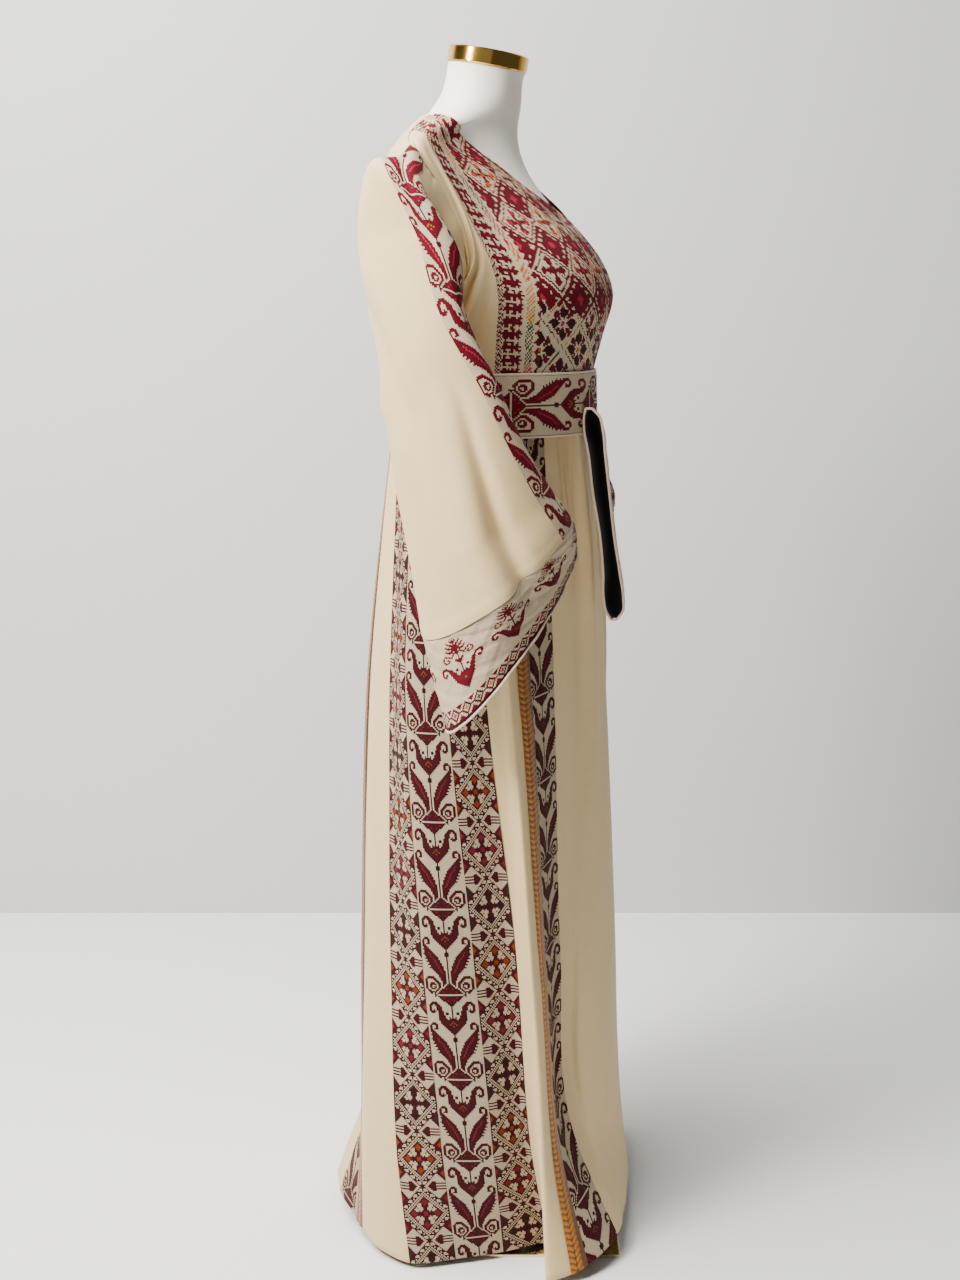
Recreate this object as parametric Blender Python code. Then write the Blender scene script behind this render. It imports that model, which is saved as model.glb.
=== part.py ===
"""Thobe robe with its belt, on a limbless dress form.

The robe faces -Y, its wearer's right is -X and +Z is up. The origin is the middle of the base plate's underside.
Every cloth wall is built from a surface function: outer points on the surface, inner points one wall inside.
"""
import math

import bpy
from mathutils import Matrix, Vector

# Cloth, seams and trim
WALL = 0.0012
STRIP_WALL = 0.0014
SEAM_GAP = 0.0003
BRAID_THICKNESS = 0.0020
BRAID_LIFT = 0.0005
PIPING_RADIUS = 0.0016

# Heights up the robe
WAIST_SEAM = 1.165
HIP_LEVEL = 0.80
KNEE_LEVEL = 0.42
CALF_LEVEL = 0.16
BELT_BOTTOM = 1.127
BELT_TOP = 1.203
UNDERARM = 1.300

# Belt and its hanging tail
BELT_WALL = 0.0030
BELT_EASE = 0.0016
TAIL_DEPTH = 0.028
TAIL_WALL = 0.0012
TAIL_END_SHARE = 0.45
TAIL_END_RATE = 12.0
TAIL_FULLNESS = 0.7

# Sleeve strip
SLEEVE_STRIP_WIDTH = 0.062

# Dress form
FORM_DROP = 0.0022
FORM_BOTTOM = 0.790
NECK_RADIUS = 0.0505
CAP_RADIUS = 0.0535
CAP_HEIGHT = 0.0205
CAP_TILT = math.radians(9.9)
CAP_SOFTNESS = 0.0015
CAP_CENTRE = Vector((0.0, -0.009, 1.597))
POLE_RADIUS = 0.016
BASE_SIDE = 0.300
BASE_THICKNESS = 0.005
BASE_SOFTNESS = 0.001
BASE_CENTRE = Vector((-0.039, -0.054, 0.0))
BASE_TURN = math.radians(13.0)

# Turn of the hanging skirt about the pole at each level, in degrees
SKIRT_TURN = {"waist": 0.0, "hip": 0.0, "knee": 3.0, "calf": 6.0, "hem": 9.0}

# Seams and folds of the right half of the skirt, from the centre front to the centre back.
# Columns: name, then x and y at the waist, hip, knee, calf and hem, then the height of the hem there.
SKIRT_LINES = (
    ("front_centre", 0.000, -0.150, 0.000, -0.176, 0.000, -0.195, 0.000, -0.206, 0.000, -0.220, 0.036),
    ("front_ridge", -0.058, -0.138, -0.049, -0.165, -0.097, -0.154, -0.115, -0.170, -0.100, -0.214, 0.035),
    ("strip_inner", -0.104, -0.107, -0.111, -0.126, -0.115, -0.132, -0.135, -0.148, -0.180, -0.205, 0.032),
    ("strip_outer", -0.135, -0.062, -0.159, -0.100, -0.174, -0.117, -0.198, -0.131, -0.244, -0.157, 0.016),
    ("braid_edge", -0.139, -0.052, -0.171, -0.092, -0.186, -0.113, -0.208, -0.126, -0.250, -0.146, 0.012),
    ("gore_ridge", -0.141, -0.048, -0.184, -0.082, -0.201, -0.104, -0.226, -0.112, -0.262, -0.110, 0.007),
    ("gore_groove", -0.1425, -0.044, -0.175, -0.068, -0.191, -0.095, -0.211, -0.104, -0.212, -0.116, 0.008),
    ("side_front", -0.1435, -0.040, -0.178, -0.049, -0.185, -0.083, -0.192, -0.094, -0.176, -0.110, 0.010),
    ("seam_front", -0.147, 0.011, -0.195, 0.000, -0.210, -0.030, -0.218, -0.045, -0.200, -0.047, 0.010),
    ("seam_back", -0.126, 0.058, -0.188, 0.057, -0.218, 0.038, -0.226, 0.023, -0.221, 0.017, 0.009),
    ("side_back", -0.086, 0.089, -0.142, 0.091, -0.188, 0.089, -0.224, 0.086, -0.234, 0.079, 0.008),
    ("back_gore", -0.081, 0.092, -0.118, 0.120, -0.159, 0.124, -0.195, 0.127, -0.207, 0.123, 0.010),
    ("back_braid", -0.076, 0.095, -0.102, 0.130, -0.138, 0.138, -0.167, 0.144, -0.158, 0.156, 0.018),
    ("back_strip_outer", -0.065, 0.099, -0.091, 0.135, -0.127, 0.143, -0.155, 0.147, -0.148, 0.162, 0.021),
    ("back_strip_inner", -0.018, 0.109, -0.039, 0.148, -0.063, 0.154, -0.089, 0.154, -0.084, 0.197, 0.030),
    ("back_centre", 0.000, 0.110, 0.000, 0.148, 0.000, 0.158, 0.000, 0.163, 0.000, 0.205, 0.035),
)

# Sections of the bodice, from the waist to the neck, and on up the neck of the form.
# Columns: height, front y, chest x and y, side x and y, shoulder blade x and y, back y, ease over the form.
TORSO_ROWS = (
    (1.125, -0.1560, 0.1095, -0.1105, 0.1570, 0.003, 0.1130, 0.083, 0.1165, 0.016),
    (1.165, -0.1500, 0.1045, -0.1060, 0.1480, 0.000, 0.1045, 0.078, 0.110, 0.012),
    (1.203, -0.1540, 0.1055, -0.1090, 0.1490, 0.000, 0.1055, 0.079, 0.112, 0.012),
    (1.250, -0.1660, 0.1080, -0.1170, 0.1530, 0.000, 0.1080, 0.083, 0.116, 0.010),
    (1.310, -0.1790, 0.1130, -0.1240, 0.1580, 0.003, 0.1120, 0.088, 0.121, 0.008),
    (1.350, -0.1630, 0.1150, -0.1010, 0.1620, 0.008, 0.1150, 0.092, 0.124, 0.007),
    (1.380, -0.1400, 0.1160, -0.0720, 0.1680, 0.014, 0.1180, 0.094, 0.126, 0.006),
    (1.410, -0.1120, 0.1160, -0.0450, 0.1740, 0.022, 0.1220, 0.096, 0.127, 0.005),
    (1.440, -0.0890, 0.1160, -0.0200, 0.1800, 0.030, 0.1260, 0.096, 0.125, 0.005),
    (1.465, -0.0750, 0.1140, -0.0020, 0.1820, 0.040, 0.1270, 0.092, 0.120, 0.008),
    (1.485, -0.0660, 0.1080, 0.0100, 0.1700, 0.045, 0.1200, 0.086, 0.112, 0.007),
    (1.500, -0.0610, 0.0980, 0.0120, 0.1480, 0.045, 0.1060, 0.079, 0.103, 0.006),
    (1.515, -0.0580, 0.0800, 0.0000, 0.1180, 0.040, 0.0860, 0.071, 0.092, 0.006),
    (1.530, -0.0570, 0.0600, -0.0220, 0.0880, 0.028, 0.0660, 0.062, 0.078, 0.005),
    (1.545, -0.0570, 0.0470, -0.0340, 0.0680, 0.012, 0.0500, 0.050, 0.066, 0.002),
    (1.562, -0.0570, 0.0410, -0.0390, 0.0570, -0.001, 0.0410, 0.037, 0.054, 0.001),
    (1.580, -0.0570, 0.0380, -0.0420, 0.0530, -0.005, 0.0380, 0.032, 0.047, 0.001),
)

# Hips of the form below the bodice. Columns as in TORSO_ROWS.
HIP_ROWS = (
    (0.790, -0.120, 0.0980, -0.0840, 0.1380, 0.005, 0.0980, 0.081, 0.110, 0.0),
    (0.830, -0.138, 0.1120, -0.0970, 0.1580, 0.005, 0.1120, 0.092, 0.125, 0.0),
    (0.900, -0.142, 0.1140, -0.1000, 0.1610, 0.003, 0.1140, 0.092, 0.124, 0.0),
    (1.000, -0.136, 0.1060, -0.0960, 0.1500, 0.001, 0.1060, 0.084, 0.115, 0.0),
    (1.080, -0.132, 0.0970, -0.0930, 0.1380, 0.000, 0.0970, 0.075, 0.105, 0.0),
)

# Edges of the bodice's pieces on the torso. Columns: place round the torso (0 front, 2 side, 4 back), height.
NECKLINE = ((0.0, 1.405), (0.1, 1.411), (0.26, 1.426), (0.42, 1.446), (0.6, 1.474), (0.8, 1.496), (1.0, 1.509),
            (1.5, 1.523), (2.2, 1.532), (2.75, 1.533))
BACK_NECK = ((2.75, 1.533), (3.2, 1.533), (4.0, 1.532))
CHEST_EDGE = ((1.55, WAIST_SEAM), (1.56, 1.240), (1.55, 1.310), (1.50, 1.380), (1.44, 1.440), (1.47, 1.478),
              (1.70, 1.498), (2.15, 1.507), (2.70, 1.510))
SIDE_SEAM = ((2.05, WAIST_SEAM), (2.05, 1.230), (2.05, UNDERARM))
ARMHOLE_FRONT = ((2.05, UNDERARM), (1.83, 1.325), (1.72, 1.365), (1.68, 1.410), (1.70, 1.450), (1.86, 1.478),
                 (2.15, 1.487))
ARMHOLE_BACK = ((2.05, UNDERARM), (2.28, 1.325), (2.44, 1.365), (2.50, 1.410), (2.46, 1.450), (2.32, 1.478),
                (2.15, 1.487))
SHOULDER_TIP = (2.15, 1.487)
SHOULDER_MID = (2.70, 1.510)
SHOULDER_NECK = (2.75, 1.533)

# Rings of the right sleeve and cuff. Each has four points: on the overarm line, out, on the underarm line and in.
# Columns: name, then x, y and z of each of the four.
SLEEVE_RINGS = (
    ("upper", -0.204, 0.050, 1.461, -0.187, 0.101, 1.421, -0.177, 0.030, 1.285, -0.193, 0.008, 1.387),
    ("biceps", -0.231, -0.002, 1.365, -0.206, 0.102, 1.345, -0.187, 0.047, 1.225, -0.193, -0.020, 1.310),
    ("elbow", -0.230, -0.035, 1.275, -0.246, 0.030, 1.245, -0.207, 0.079, 1.180, -0.182, 0.010, 1.235),
    ("forearm", -0.221, -0.071, 1.203, -0.255, -0.012, 1.170, -0.224, 0.065, 1.125, -0.184, 0.000, 1.165),
    ("low", -0.209, -0.101, 1.130, -0.262, -0.040, 1.088, -0.230, 0.053, 1.052, -0.189, -0.020, 1.090),
    ("wrist", -0.190, -0.134, 1.068, -0.269, -0.062, 1.006, -0.237, 0.036, 0.972, -0.191, -0.045, 1.012),
    ("seam", -0.169, -0.158, 1.026, -0.273, -0.086, 0.931, -0.239, 0.020, 0.884, -0.191, -0.068, 0.955),
    ("cuff", -0.133, -0.158, 1.002, -0.267, -0.098, 0.902, -0.243, 0.004, 0.825, -0.188, -0.082, 0.912),
    ("mouth", -0.098, -0.152, 0.976, -0.256, -0.110, 0.862, -0.248, -0.013, 0.764, -0.190, -0.083, 0.872),
)
CUFF_SEAM_RING = 7

# Belt tail, open towards the wearer's right. Columns: height, back edge y, front edge y.
TAIL_ROWS = (
    (1.158, -0.1545, -0.1640),
    (1.150, -0.1525, -0.1725),
    (1.130, -0.1525, -0.1790),
    (1.100, -0.1585, -0.1824),
    (1.050, -0.1650, -0.1886),
    (0.985, -0.1763, -0.1968),
    (0.940, -0.1806, -0.2045),
    (0.905, -0.1818, -0.2097),
    (0.887, -0.1856, -0.2086),
    (0.877, -0.1917, -0.2009),
)
TAIL_OPEN_X = -0.052

# Finishes: base colour, roughness and metalness
MATERIALS = {
    "cream_cloth": ((0.62, 0.56, 0.46), 0.62, 0.0),
    "embroidered_cloth": ((0.45, 0.16, 0.16), 0.80, 0.0),
    "gold_braid": ((0.52, 0.32, 0.08), 0.45, 0.2),
    "cream_piping": ((0.66, 0.56, 0.50), 0.60, 0.0),
    "black_velvet": ((0.012, 0.011, 0.013), 0.95, 0.0),
    "form_ivory": ((0.82, 0.78, 0.71), 0.50, 0.0),
    "polished_brass": ((0.72, 0.50, 0.18), 0.16, 1.0),
    "mirror_plate": ((0.80, 0.74, 0.60), 0.10, 1.0),
}


def clear_scene():
    for item in list(bpy.data.objects):
        bpy.data.objects.remove(item, do_unlink=True)


def material(name):
    found = bpy.data.materials.get(name)
    if found:
        return found
    colour, roughness, metallic = MATERIALS[name]
    made = bpy.data.materials.new(name)
    made.use_nodes = True
    shader = made.node_tree.nodes["Principled BSDF"]
    shader.inputs["Base Color"].default_value = (*colour, 1.0)
    shader.inputs["Roughness"].default_value = roughness
    shader.inputs["Metallic"].default_value = metallic
    return made


def add_object(name, points, faces, finish, smooth_angle=40.0):
    mesh = bpy.data.meshes.new(name)
    mesh.from_pydata([tuple(point) for point in points], [], faces)
    mesh.update()
    mesh.materials.append(material(finish))
    mesh.shade_smooth()
    mesh.set_sharp_from_angle(angle=math.radians(smooth_angle))
    made = bpy.data.objects.new(name, mesh)
    bpy.context.collection.objects.link(made)
    return made


# Curves


def slopes(points, stops, closed):
    """The slope of a smooth curve at each of its points, from the chords on both sides."""
    count = len(points)
    found = []
    for index in range(count):
        if closed:
            before, after = (index - 1) % count, (index + 1) % count
            step_in = stops[index] - stops[index - 1] if index else stops[count] - stops[count - 1]
            step_out = stops[index + 1] - stops[index]
        elif index == 0:
            found.append((points[1] - points[0]) / (stops[1] - stops[0]))
            continue
        elif index == count - 1:
            found.append((points[-1] - points[-2]) / (stops[-1] - stops[-2]))
            continue
        else:
            before, after = index - 1, index + 1
            step_in = stops[index] - stops[before]
            step_out = stops[after] - stops[index]
        slope_in = (points[index] - points[before]) / step_in
        slope_out = (points[after] - points[index]) / step_out
        found.append((slope_in * step_out + slope_out * step_in) / (step_in + step_out))
    return found


def hermite(start, end, slope_start, slope_end, width, place):
    square, cube = place * place, place * place * place
    return (start * (2 * cube - 3 * square + 1) + slope_start * (width * (cube - 2 * square + place))
            + end * (3 * square - 2 * cube) + slope_end * (width * (cube - square)))


class Curve:
    """A smooth curve through points. Its places run from 0 to the number of spans, one for each span."""

    def __init__(self, points, closed=False):
        self.points = [Vector(point) for point in points]
        self.closed = closed
        ring = self.points + self.points[:1] if closed else self.points
        self.stops = [0.0]
        for first, second in zip(ring, ring[1:]):
            self.stops.append(self.stops[-1] + max((second - first).length, 1e-6))
        self.slopes = slopes(self.points, self.stops, closed)
        self.spans = len(ring) - 1

    def at(self, place):
        if self.closed:
            place %= self.spans
        span = min(max(int(math.floor(place)), 0), self.spans - 1)
        after = (span + 1) % len(self.points)
        width = self.stops[span + 1] - self.stops[span]
        return hermite(self.points[span], self.points[after], self.slopes[span], self.slopes[after], width,
                       place - span)

    def by_length(self, share):
        """The point at a share, 0 to 1, of the chords' whole length."""
        target = share * self.stops[-1]
        span = 0
        while span < self.spans - 1 and self.stops[span + 1] < target:
            span += 1
        width = self.stops[span + 1] - self.stops[span]
        return self.at(span + min(max((target - self.stops[span]) / width, 0.0), 1.0))


def spread(count, start=0.0, end=1.0):
    return [start + (end - start) * step / count for step in range(count + 1)]


# Cloth walls


def surface_normal(surface, across, up, step=1e-3):
    """The outward normal of surface(across, up), where across runs to the wearer's right on the robe's front."""
    along = surface(across + step, up) - surface(across - step, up)
    rise = surface(across, up + step) - surface(across, up - step)
    return rise.cross(along).normalized()


LEAST_SKEW = 0.15


def drawn_in(surface, columns, up, gap, step=1e-3):
    """The columns with both ends drawn in by half a seam gap, measured square to each edge at this height."""
    ends = []
    for column, side in ((columns[0], 1.0), (columns[-1], -1.0)):
        along = (surface(column + side * step, up) - surface(column, up)) / step
        edge = surface(column, up + step) - surface(column, up - step)
        square = along.cross(edge).length / edge.length
        ends.append(column + side * gap / 2 / max(square, along.length * LEAST_SKEW))
    return [ends[0], *columns[1:-1], ends[1]]


def wall(name, surface, columns, rows, finish, thickness=WALL, lift=0.0, mirrored=False, outward=1.0, closed=False,
         normal_at=None, gap=SEAM_GAP):
    """A wall on a surface: outer points lifted off it and inner points one thickness inside, with its rims.

    mirrored builds the wearer's left piece from the right one's surface. outward of -1 turns the normal about.
    normal_at gives the normal where the surface's own differences would fail at its corners.
    """
    outer, inner = [], []
    for up in rows:
        row_columns = columns if closed else drawn_in(surface, columns, up, gap)
        for across in row_columns:
            point = surface(across, up)
            normal = normal_at(across, up) if normal_at else surface_normal(surface, across, up) * outward
            outer.append(point + normal * lift)
            inner.append(point + normal * (lift - thickness))
    wide, tall = len(columns), len(rows)
    shift = len(outer)
    points = outer + inner
    last = wide if closed else wide - 1
    top = (tall - 1) * wide
    faces = []
    for column in range(last):
        after = (column + 1) % wide
        for row in range(tall - 1):
            a, b = row * wide + column, row * wide + after
            c, d = a + wide, b + wide
            faces.append((a, c, d, b))
            faces.append((a + shift, b + shift, d + shift, c + shift))
        faces.append((column, after, after + shift, column + shift))
        faces.append((top + after, top + column, top + column + shift, top + after + shift))
    if not closed:
        for row in range(tall - 1):
            a, c = row * wide, (row + 1) * wide
            faces.append((c, a, a + shift, c + shift))
            a, c = a + wide - 1, c + wide - 1
            faces.append((a, c, c + shift, a + shift))
    if mirrored:
        points = [Vector((-point.x, point.y, point.z)) for point in points]
    if mirrored != (outward < 0):
        faces = [tuple(reversed(face)) for face in faces]
    return add_object(name, points, faces, finish)


def tube(name, path, radius, finish, sides=6, mirrored=False):
    """A closed ring of round cord along a closed path."""
    count = len(path)
    points, faces = [], []
    across = None
    for index in range(count):
        along = (path[(index + 1) % count] - path[index - 1]).normalized()
        if across is None:
            across = along.orthogonal().normalized()
        across = (across - along * across.dot(along)).normalized()
        over = along.cross(across)
        for side in range(sides):
            turn = 2 * math.pi * side / sides
            points.append(path[index] + (across * math.cos(turn) + over * math.sin(turn)) * radius)
    first_ring = points[:sides]
    last_turn = min(range(sides), key=lambda shift: (points[-sides + shift] - first_ring[0]).length)
    for index in range(count):
        after = (index + 1) % count
        shift = 0 if after else (sides - last_turn) % sides
        for side in range(sides):
            a, b = index * sides + side, index * sides + (side + 1) % sides
            c = after * sides + (side + shift) % sides
            d = after * sides + (side + 1 + shift) % sides
            faces.append((a, b, d, c))
    if mirrored:
        points = [Vector((-point.x, point.y, point.z)) for point in points]
        faces = [tuple(reversed(face)) for face in faces]
    return add_object(name, points, faces, finish, smooth_angle=80.0)


# Skirt


SKIRT_NAMES = [line[0] for line in SKIRT_LINES]
SKIRT_HALF = len(SKIRT_LINES) - 1
SKIRT_STEPS = 12
BRAID_TOP = (BELT_BOTTOM - 0.022) / WAIST_SEAM
SKIRT_ROWS = [BRAID_TOP * (step / (SKIRT_STEPS - 1)) ** 1.25 for step in range(SKIRT_STEPS)] + [1.0]
LEVEL_ORDER = ("hem", "calf", "knee", "hip", "waist")


def line_place(name):
    return float(SKIRT_NAMES.index(name))


def skirt_line_point(line, share):
    """The point of one seam or fold at a share of the way from its hem to the waist, before the skirt's turn."""
    waist_x, waist_y, hip_x, hip_y, knee_x, knee_y, calf_x, calf_y, hem_x, hem_y, hem = line[1:]
    heights = [hem, CALF_LEVEL, KNEE_LEVEL, HIP_LEVEL, WAIST_SEAM - SEAM_GAP / 2]
    places = [Vector((hem_x, hem_y)), Vector((calf_x, calf_y)), Vector((knee_x, knee_y)), Vector((hip_x, hip_y)),
              Vector((waist_x, waist_y))]
    height = hem + (heights[-1] - hem) * share
    found = slopes(places, heights, False)
    span = 0
    while span < 3 and height > heights[span + 1]:
        span += 1
    width = heights[span + 1] - heights[span]
    place = hermite(places[span], places[span + 1], found[span], found[span + 1], width,
                    (height - heights[span]) / width)
    return Vector((place.x, place.y, height))


def skirt_turn(height):
    heights = [0.0, CALF_LEVEL, KNEE_LEVEL, HIP_LEVEL, WAIST_SEAM]
    turns = [SKIRT_TURN[level] for level in LEVEL_ORDER]
    for low, high, first, second in zip(heights, heights[1:], turns, turns[1:]):
        if height <= high:
            return math.radians(first + (second - first) * (height - low) / (high - low))
    return 0.0


skirt_sections = {}


def skirt_section(share):
    """The closed section through all the seams and folds at a share of the height."""
    key = round(share, 6)
    if key not in skirt_sections:
        right = [skirt_line_point(line, share) for line in SKIRT_LINES]
        left = [Vector((-point.x, point.y, point.z)) for point in right[-2:0:-1]]
        ring = [Matrix.Rotation(skirt_turn(point.z), 3, "Z") @ point for point in right + left]
        skirt_sections[key] = Curve(ring, closed=True)
    return skirt_sections[key]


def skirt_surface(across, up):
    """across counts the seams and folds from the centre front, right positive, and up runs from hem to waist."""
    return skirt_section(up).at(across)


def skirt_columns(first, last, counts):
    """Columns from one line to another, with a count of cells for each span between lines."""
    start = line_place(first)
    columns = [start]
    for offset, count in enumerate(counts):
        columns += [start + offset + step / count for step in range(1, count + 1)]
    assert abs(columns[-1] - line_place(last)) < 1e-9
    return columns


def build_skirt():
    front_half = skirt_columns("front_centre", "strip_inner", (4, 3))
    front = [-place for place in reversed(front_half[1:])] + front_half
    wall("skirt_front", skirt_surface, front, SKIRT_ROWS, "cream_cloth")
    back_half = skirt_columns("back_strip_inner", "back_centre", (4,))
    back = back_half + [2 * SKIRT_HALF - place for place in reversed(back_half[:-1])]
    wall("skirt_back", skirt_surface, back, SKIRT_ROWS, "cream_cloth")
    pieces = (
        ("front_strip", "strip_inner", "strip_outer", (3,), "embroidered_cloth", WALL),
        ("front_gore", "strip_outer", "side_front", (1, 2, 2, 1), "cream_cloth", WALL),
        ("side_diamond_front", "side_front", "seam_front", (3,), "embroidered_cloth", STRIP_WALL),
        ("side_floral", "seam_front", "seam_back", (3,), "embroidered_cloth", STRIP_WALL),
        ("side_diamond_back", "seam_back", "side_back", (3,), "embroidered_cloth", STRIP_WALL),
        ("back_gore", "side_back", "back_strip_outer", (3, 2, 1), "cream_cloth", WALL),
        ("back_strip", "back_strip_outer", "back_strip_inner", (3,), "embroidered_cloth", WALL),
    )
    for name, first, last, counts, finish, thickness in pieces:
        columns = skirt_columns(first, last, counts)
        mirrored_columns = [-place for place in reversed(columns)]
        wall(name + "_r", skirt_surface, columns, SKIRT_ROWS, finish, thickness)
        wall(name + "_l", skirt_surface, mirrored_columns, SKIRT_ROWS, finish, thickness)
    braid_rows = SKIRT_ROWS[:-1]
    for name, first, last in (("front_braid", "strip_outer", "braid_edge"),
                              ("back_braid", "back_braid", "back_strip_outer")):
        columns = skirt_columns(first, last, (1,))
        mirrored_columns = [-place for place in reversed(columns)]
        for suffix, places in (("_r", columns), ("_l", mirrored_columns)):
            wall(name + suffix, skirt_surface, places, braid_rows, "gold_braid", BRAID_THICKNESS,
                 lift=BRAID_LIFT + BRAID_THICKNESS)


# Torso


class Rows:
    """Sections stacked by height: each is a closed smooth curve through eight points."""

    def __init__(self, rows):
        self.heights = [row[0] for row in rows]
        self.values = []
        for _, front_y, chest_x, chest_y, side_x, side_y, blade_x, blade_y, back_y, _ in rows:
            self.values.append([Vector((0.0, front_y)), Vector((-chest_x, chest_y)), Vector((-side_x, side_y)),
                                Vector((-blade_x, blade_y)), Vector((0.0, back_y))])
        self.tracks = list(zip(*self.values))
        self.track_slopes = [slopes(track, self.heights, False) for track in self.tracks]

    def section(self, height):
        span = 0
        while span < len(self.heights) - 2 and height > self.heights[span + 1]:
            span += 1
        width = self.heights[span + 1] - self.heights[span]
        share = (height - self.heights[span]) / width
        right = []
        for track, slope in zip(self.tracks, self.track_slopes):
            place = hermite(track[span], track[span + 1], slope[span], slope[span + 1], width, share)
            right.append(Vector((place.x, place.y, height)))
        left = [Vector((-point.x, point.y, point.z)) for point in right[-2:0:-1]]
        return Curve(right + left, closed=True)


TORSO = Rows(TORSO_ROWS)
ROUND_PLACES = 8
PLACE_LENGTH = 0.1


def torso_point(place, height):
    return TORSO.section(height).at(place)


def torso_normal(place, height):
    return surface_normal(torso_point, place, height)


class Edge:
    """An edge on the torso, of one or more smooth stretches through (place, height) points."""

    def __init__(self, *stretches):
        self.curves = [Curve([(place * PLACE_LENGTH, height, 0.0) for place, height in stretch])
                       for stretch in stretches]
        self.lengths = [curve.stops[-1] for curve in self.curves]

    def corners(self):
        """The shares at which the stretches end."""
        return [sum(self.lengths[:count + 1]) / sum(self.lengths) for count in range(len(self.lengths))]

    def at(self, share):
        target = share * sum(self.lengths)
        for curve, length in zip(self.curves, self.lengths):
            if target <= length + 1e-9 or curve is self.curves[-1]:
                found = curve.by_length(target / length)
                return Vector((found.x / PLACE_LENGTH, found.y))
            target -= length


class Patch:
    """The region of the torso between four edges, as (place, height) for shares across and up."""

    def __init__(self, bottom, top, start, end):
        self.bottom, self.top, self.start, self.end = bottom, top, start, end

    def at(self, across, up):
        bottom, top, start, end = self.bottom.at(across), self.top.at(across), self.start.at(up), self.end.at(up)
        low_start, low_end, high_start, high_end = (edge.at(share) for edge in (self.bottom, self.top)
                                                    for share in (0.0, 1.0))
        low_share = (bottom.x - low_start.x) / (low_end.x - low_start.x)
        high_share = (top.x - high_start.x) / (high_end.x - high_start.x)
        share = low_share * (1 - up) + high_share * up
        ruled = bottom.y * (1 - up) + top.y * up + start.y * (1 - across) + end.y * across
        corners = ((low_start.y * (1 - across) + low_end.y * across) * (1 - up)
                   + (high_start.y * (1 - across) + high_end.y * across) * up)
        return Vector((start.x + (end.x - start.x) * share, ruled - corners))


BODICE_BOTTOM = WAIST_SEAM + SEAM_GAP / 2
SHOULDER_SHIFT = 0.005


def shifted(points, shift):
    """The points of an edge moved round the torso, to open the shoulder seam."""
    return tuple((place + shift, height) for place, height in points)


def raised(points):
    """The points of an edge, with those at the waist seam raised to the bodice's own edge."""
    return tuple((place, max(height, BODICE_BOTTOM)) for place, height in points)


CHEST_PATCH = Patch(
    bottom=Edge(((0.0, BODICE_BOTTOM), (CHEST_EDGE[0][0], BODICE_BOTTOM))),
    top=Edge(NECKLINE[:-1] + shifted((SHOULDER_NECK,), -SHOULDER_SHIFT),
             shifted((SHOULDER_NECK, SHOULDER_MID), -SHOULDER_SHIFT)),
    start=Edge(((0.0, BODICE_BOTTOM), NECKLINE[0])),
    end=Edge(raised(CHEST_EDGE[:-1]) + shifted(CHEST_EDGE[-1:], -SHOULDER_SHIFT)),
)
SIDE_PATCH = Patch(
    bottom=Edge(((CHEST_EDGE[0][0], BODICE_BOTTOM), (SIDE_SEAM[0][0], BODICE_BOTTOM))),
    top=Edge(shifted((SHOULDER_MID, SHOULDER_TIP), -SHOULDER_SHIFT)),
    start=Edge(raised(CHEST_EDGE[:-1]) + shifted(CHEST_EDGE[-1:], -SHOULDER_SHIFT)),
    end=Edge(raised(SIDE_SEAM), ARMHOLE_FRONT[:-1] + shifted(ARMHOLE_FRONT[-1:], -SHOULDER_SHIFT)),
)
BACK_PATCH = Patch(
    bottom=Edge(((4.0, BODICE_BOTTOM), (SIDE_SEAM[0][0], BODICE_BOTTOM))),
    top=Edge(tuple(reversed(BACK_NECK[1:])) + shifted(BACK_NECK[:1], SHOULDER_SHIFT),
             shifted((SHOULDER_NECK, SHOULDER_MID, SHOULDER_TIP), SHOULDER_SHIFT)),
    start=Edge(((4.0, BODICE_BOTTOM), BACK_NECK[-1])),
    end=Edge(raised(SIDE_SEAM), ARMHOLE_BACK[:-1] + shifted(ARMHOLE_BACK[-1:], SHOULDER_SHIFT)),
)


def within(share):
    return min(max(share, 0.0), 1.0)


def chest_place(across, up):
    place, height = CHEST_PATCH.at(within(abs(across)), within(up))
    return math.copysign(place, across), height


def side_place(across, up):
    return SIDE_PATCH.at(within(across), within(up))


def back_place(across, up):
    place, height = BACK_PATCH.at(within(abs(across)), within(up))
    return (ROUND_PLACES - place if across > 0 else place), height


BODICE_ROWS = (0.0, 0.10, 0.20, 0.30, 0.38, 0.44, 0.50, 0.56, 0.62, 0.68, 0.74, 0.80, 0.86, 0.91, 0.96, 1.0)


def bodice_wall(name, place_at, columns, finish, thickness=WALL, mirrored=False):
    """A wall on the torso over a piece's region, given as (place, height) for shares across and up."""
    wall(name, lambda across, up: torso_point(*place_at(across, up)), columns, BODICE_ROWS, finish, thickness,
         mirrored=mirrored, normal_at=lambda across, up: torso_normal(*place_at(across, up)))


def build_bodice():
    neck_end, _ = CHEST_PATCH.top.corners()
    half = spread(6, 0.0, neck_end) + [1.0]
    chest_columns = [-share for share in reversed(half[1:])] + half
    bodice_wall("chest_panel", chest_place, chest_columns, "embroidered_cloth", STRIP_WALL)
    for suffix, mirrored in (("_r", False), ("_l", True)):
        bodice_wall("bodice_side" + suffix, side_place, spread(4), "cream_cloth", mirrored=mirrored)
    neck_end, _ = BACK_PATCH.top.corners()
    shoulder = BACK_PATCH.top.curves[1]
    middle = neck_end + (1.0 - neck_end) * shoulder.stops[1] / shoulder.stops[-1]
    back_half = spread(3, 0.0, neck_end) + [middle, (middle + 1.0) / 2, 1.0]
    back_columns = [-share for share in reversed(back_half[1:])] + back_half
    bodice_wall("bodice_back", back_place, back_columns, "cream_cloth")


# Sleeves

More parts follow.
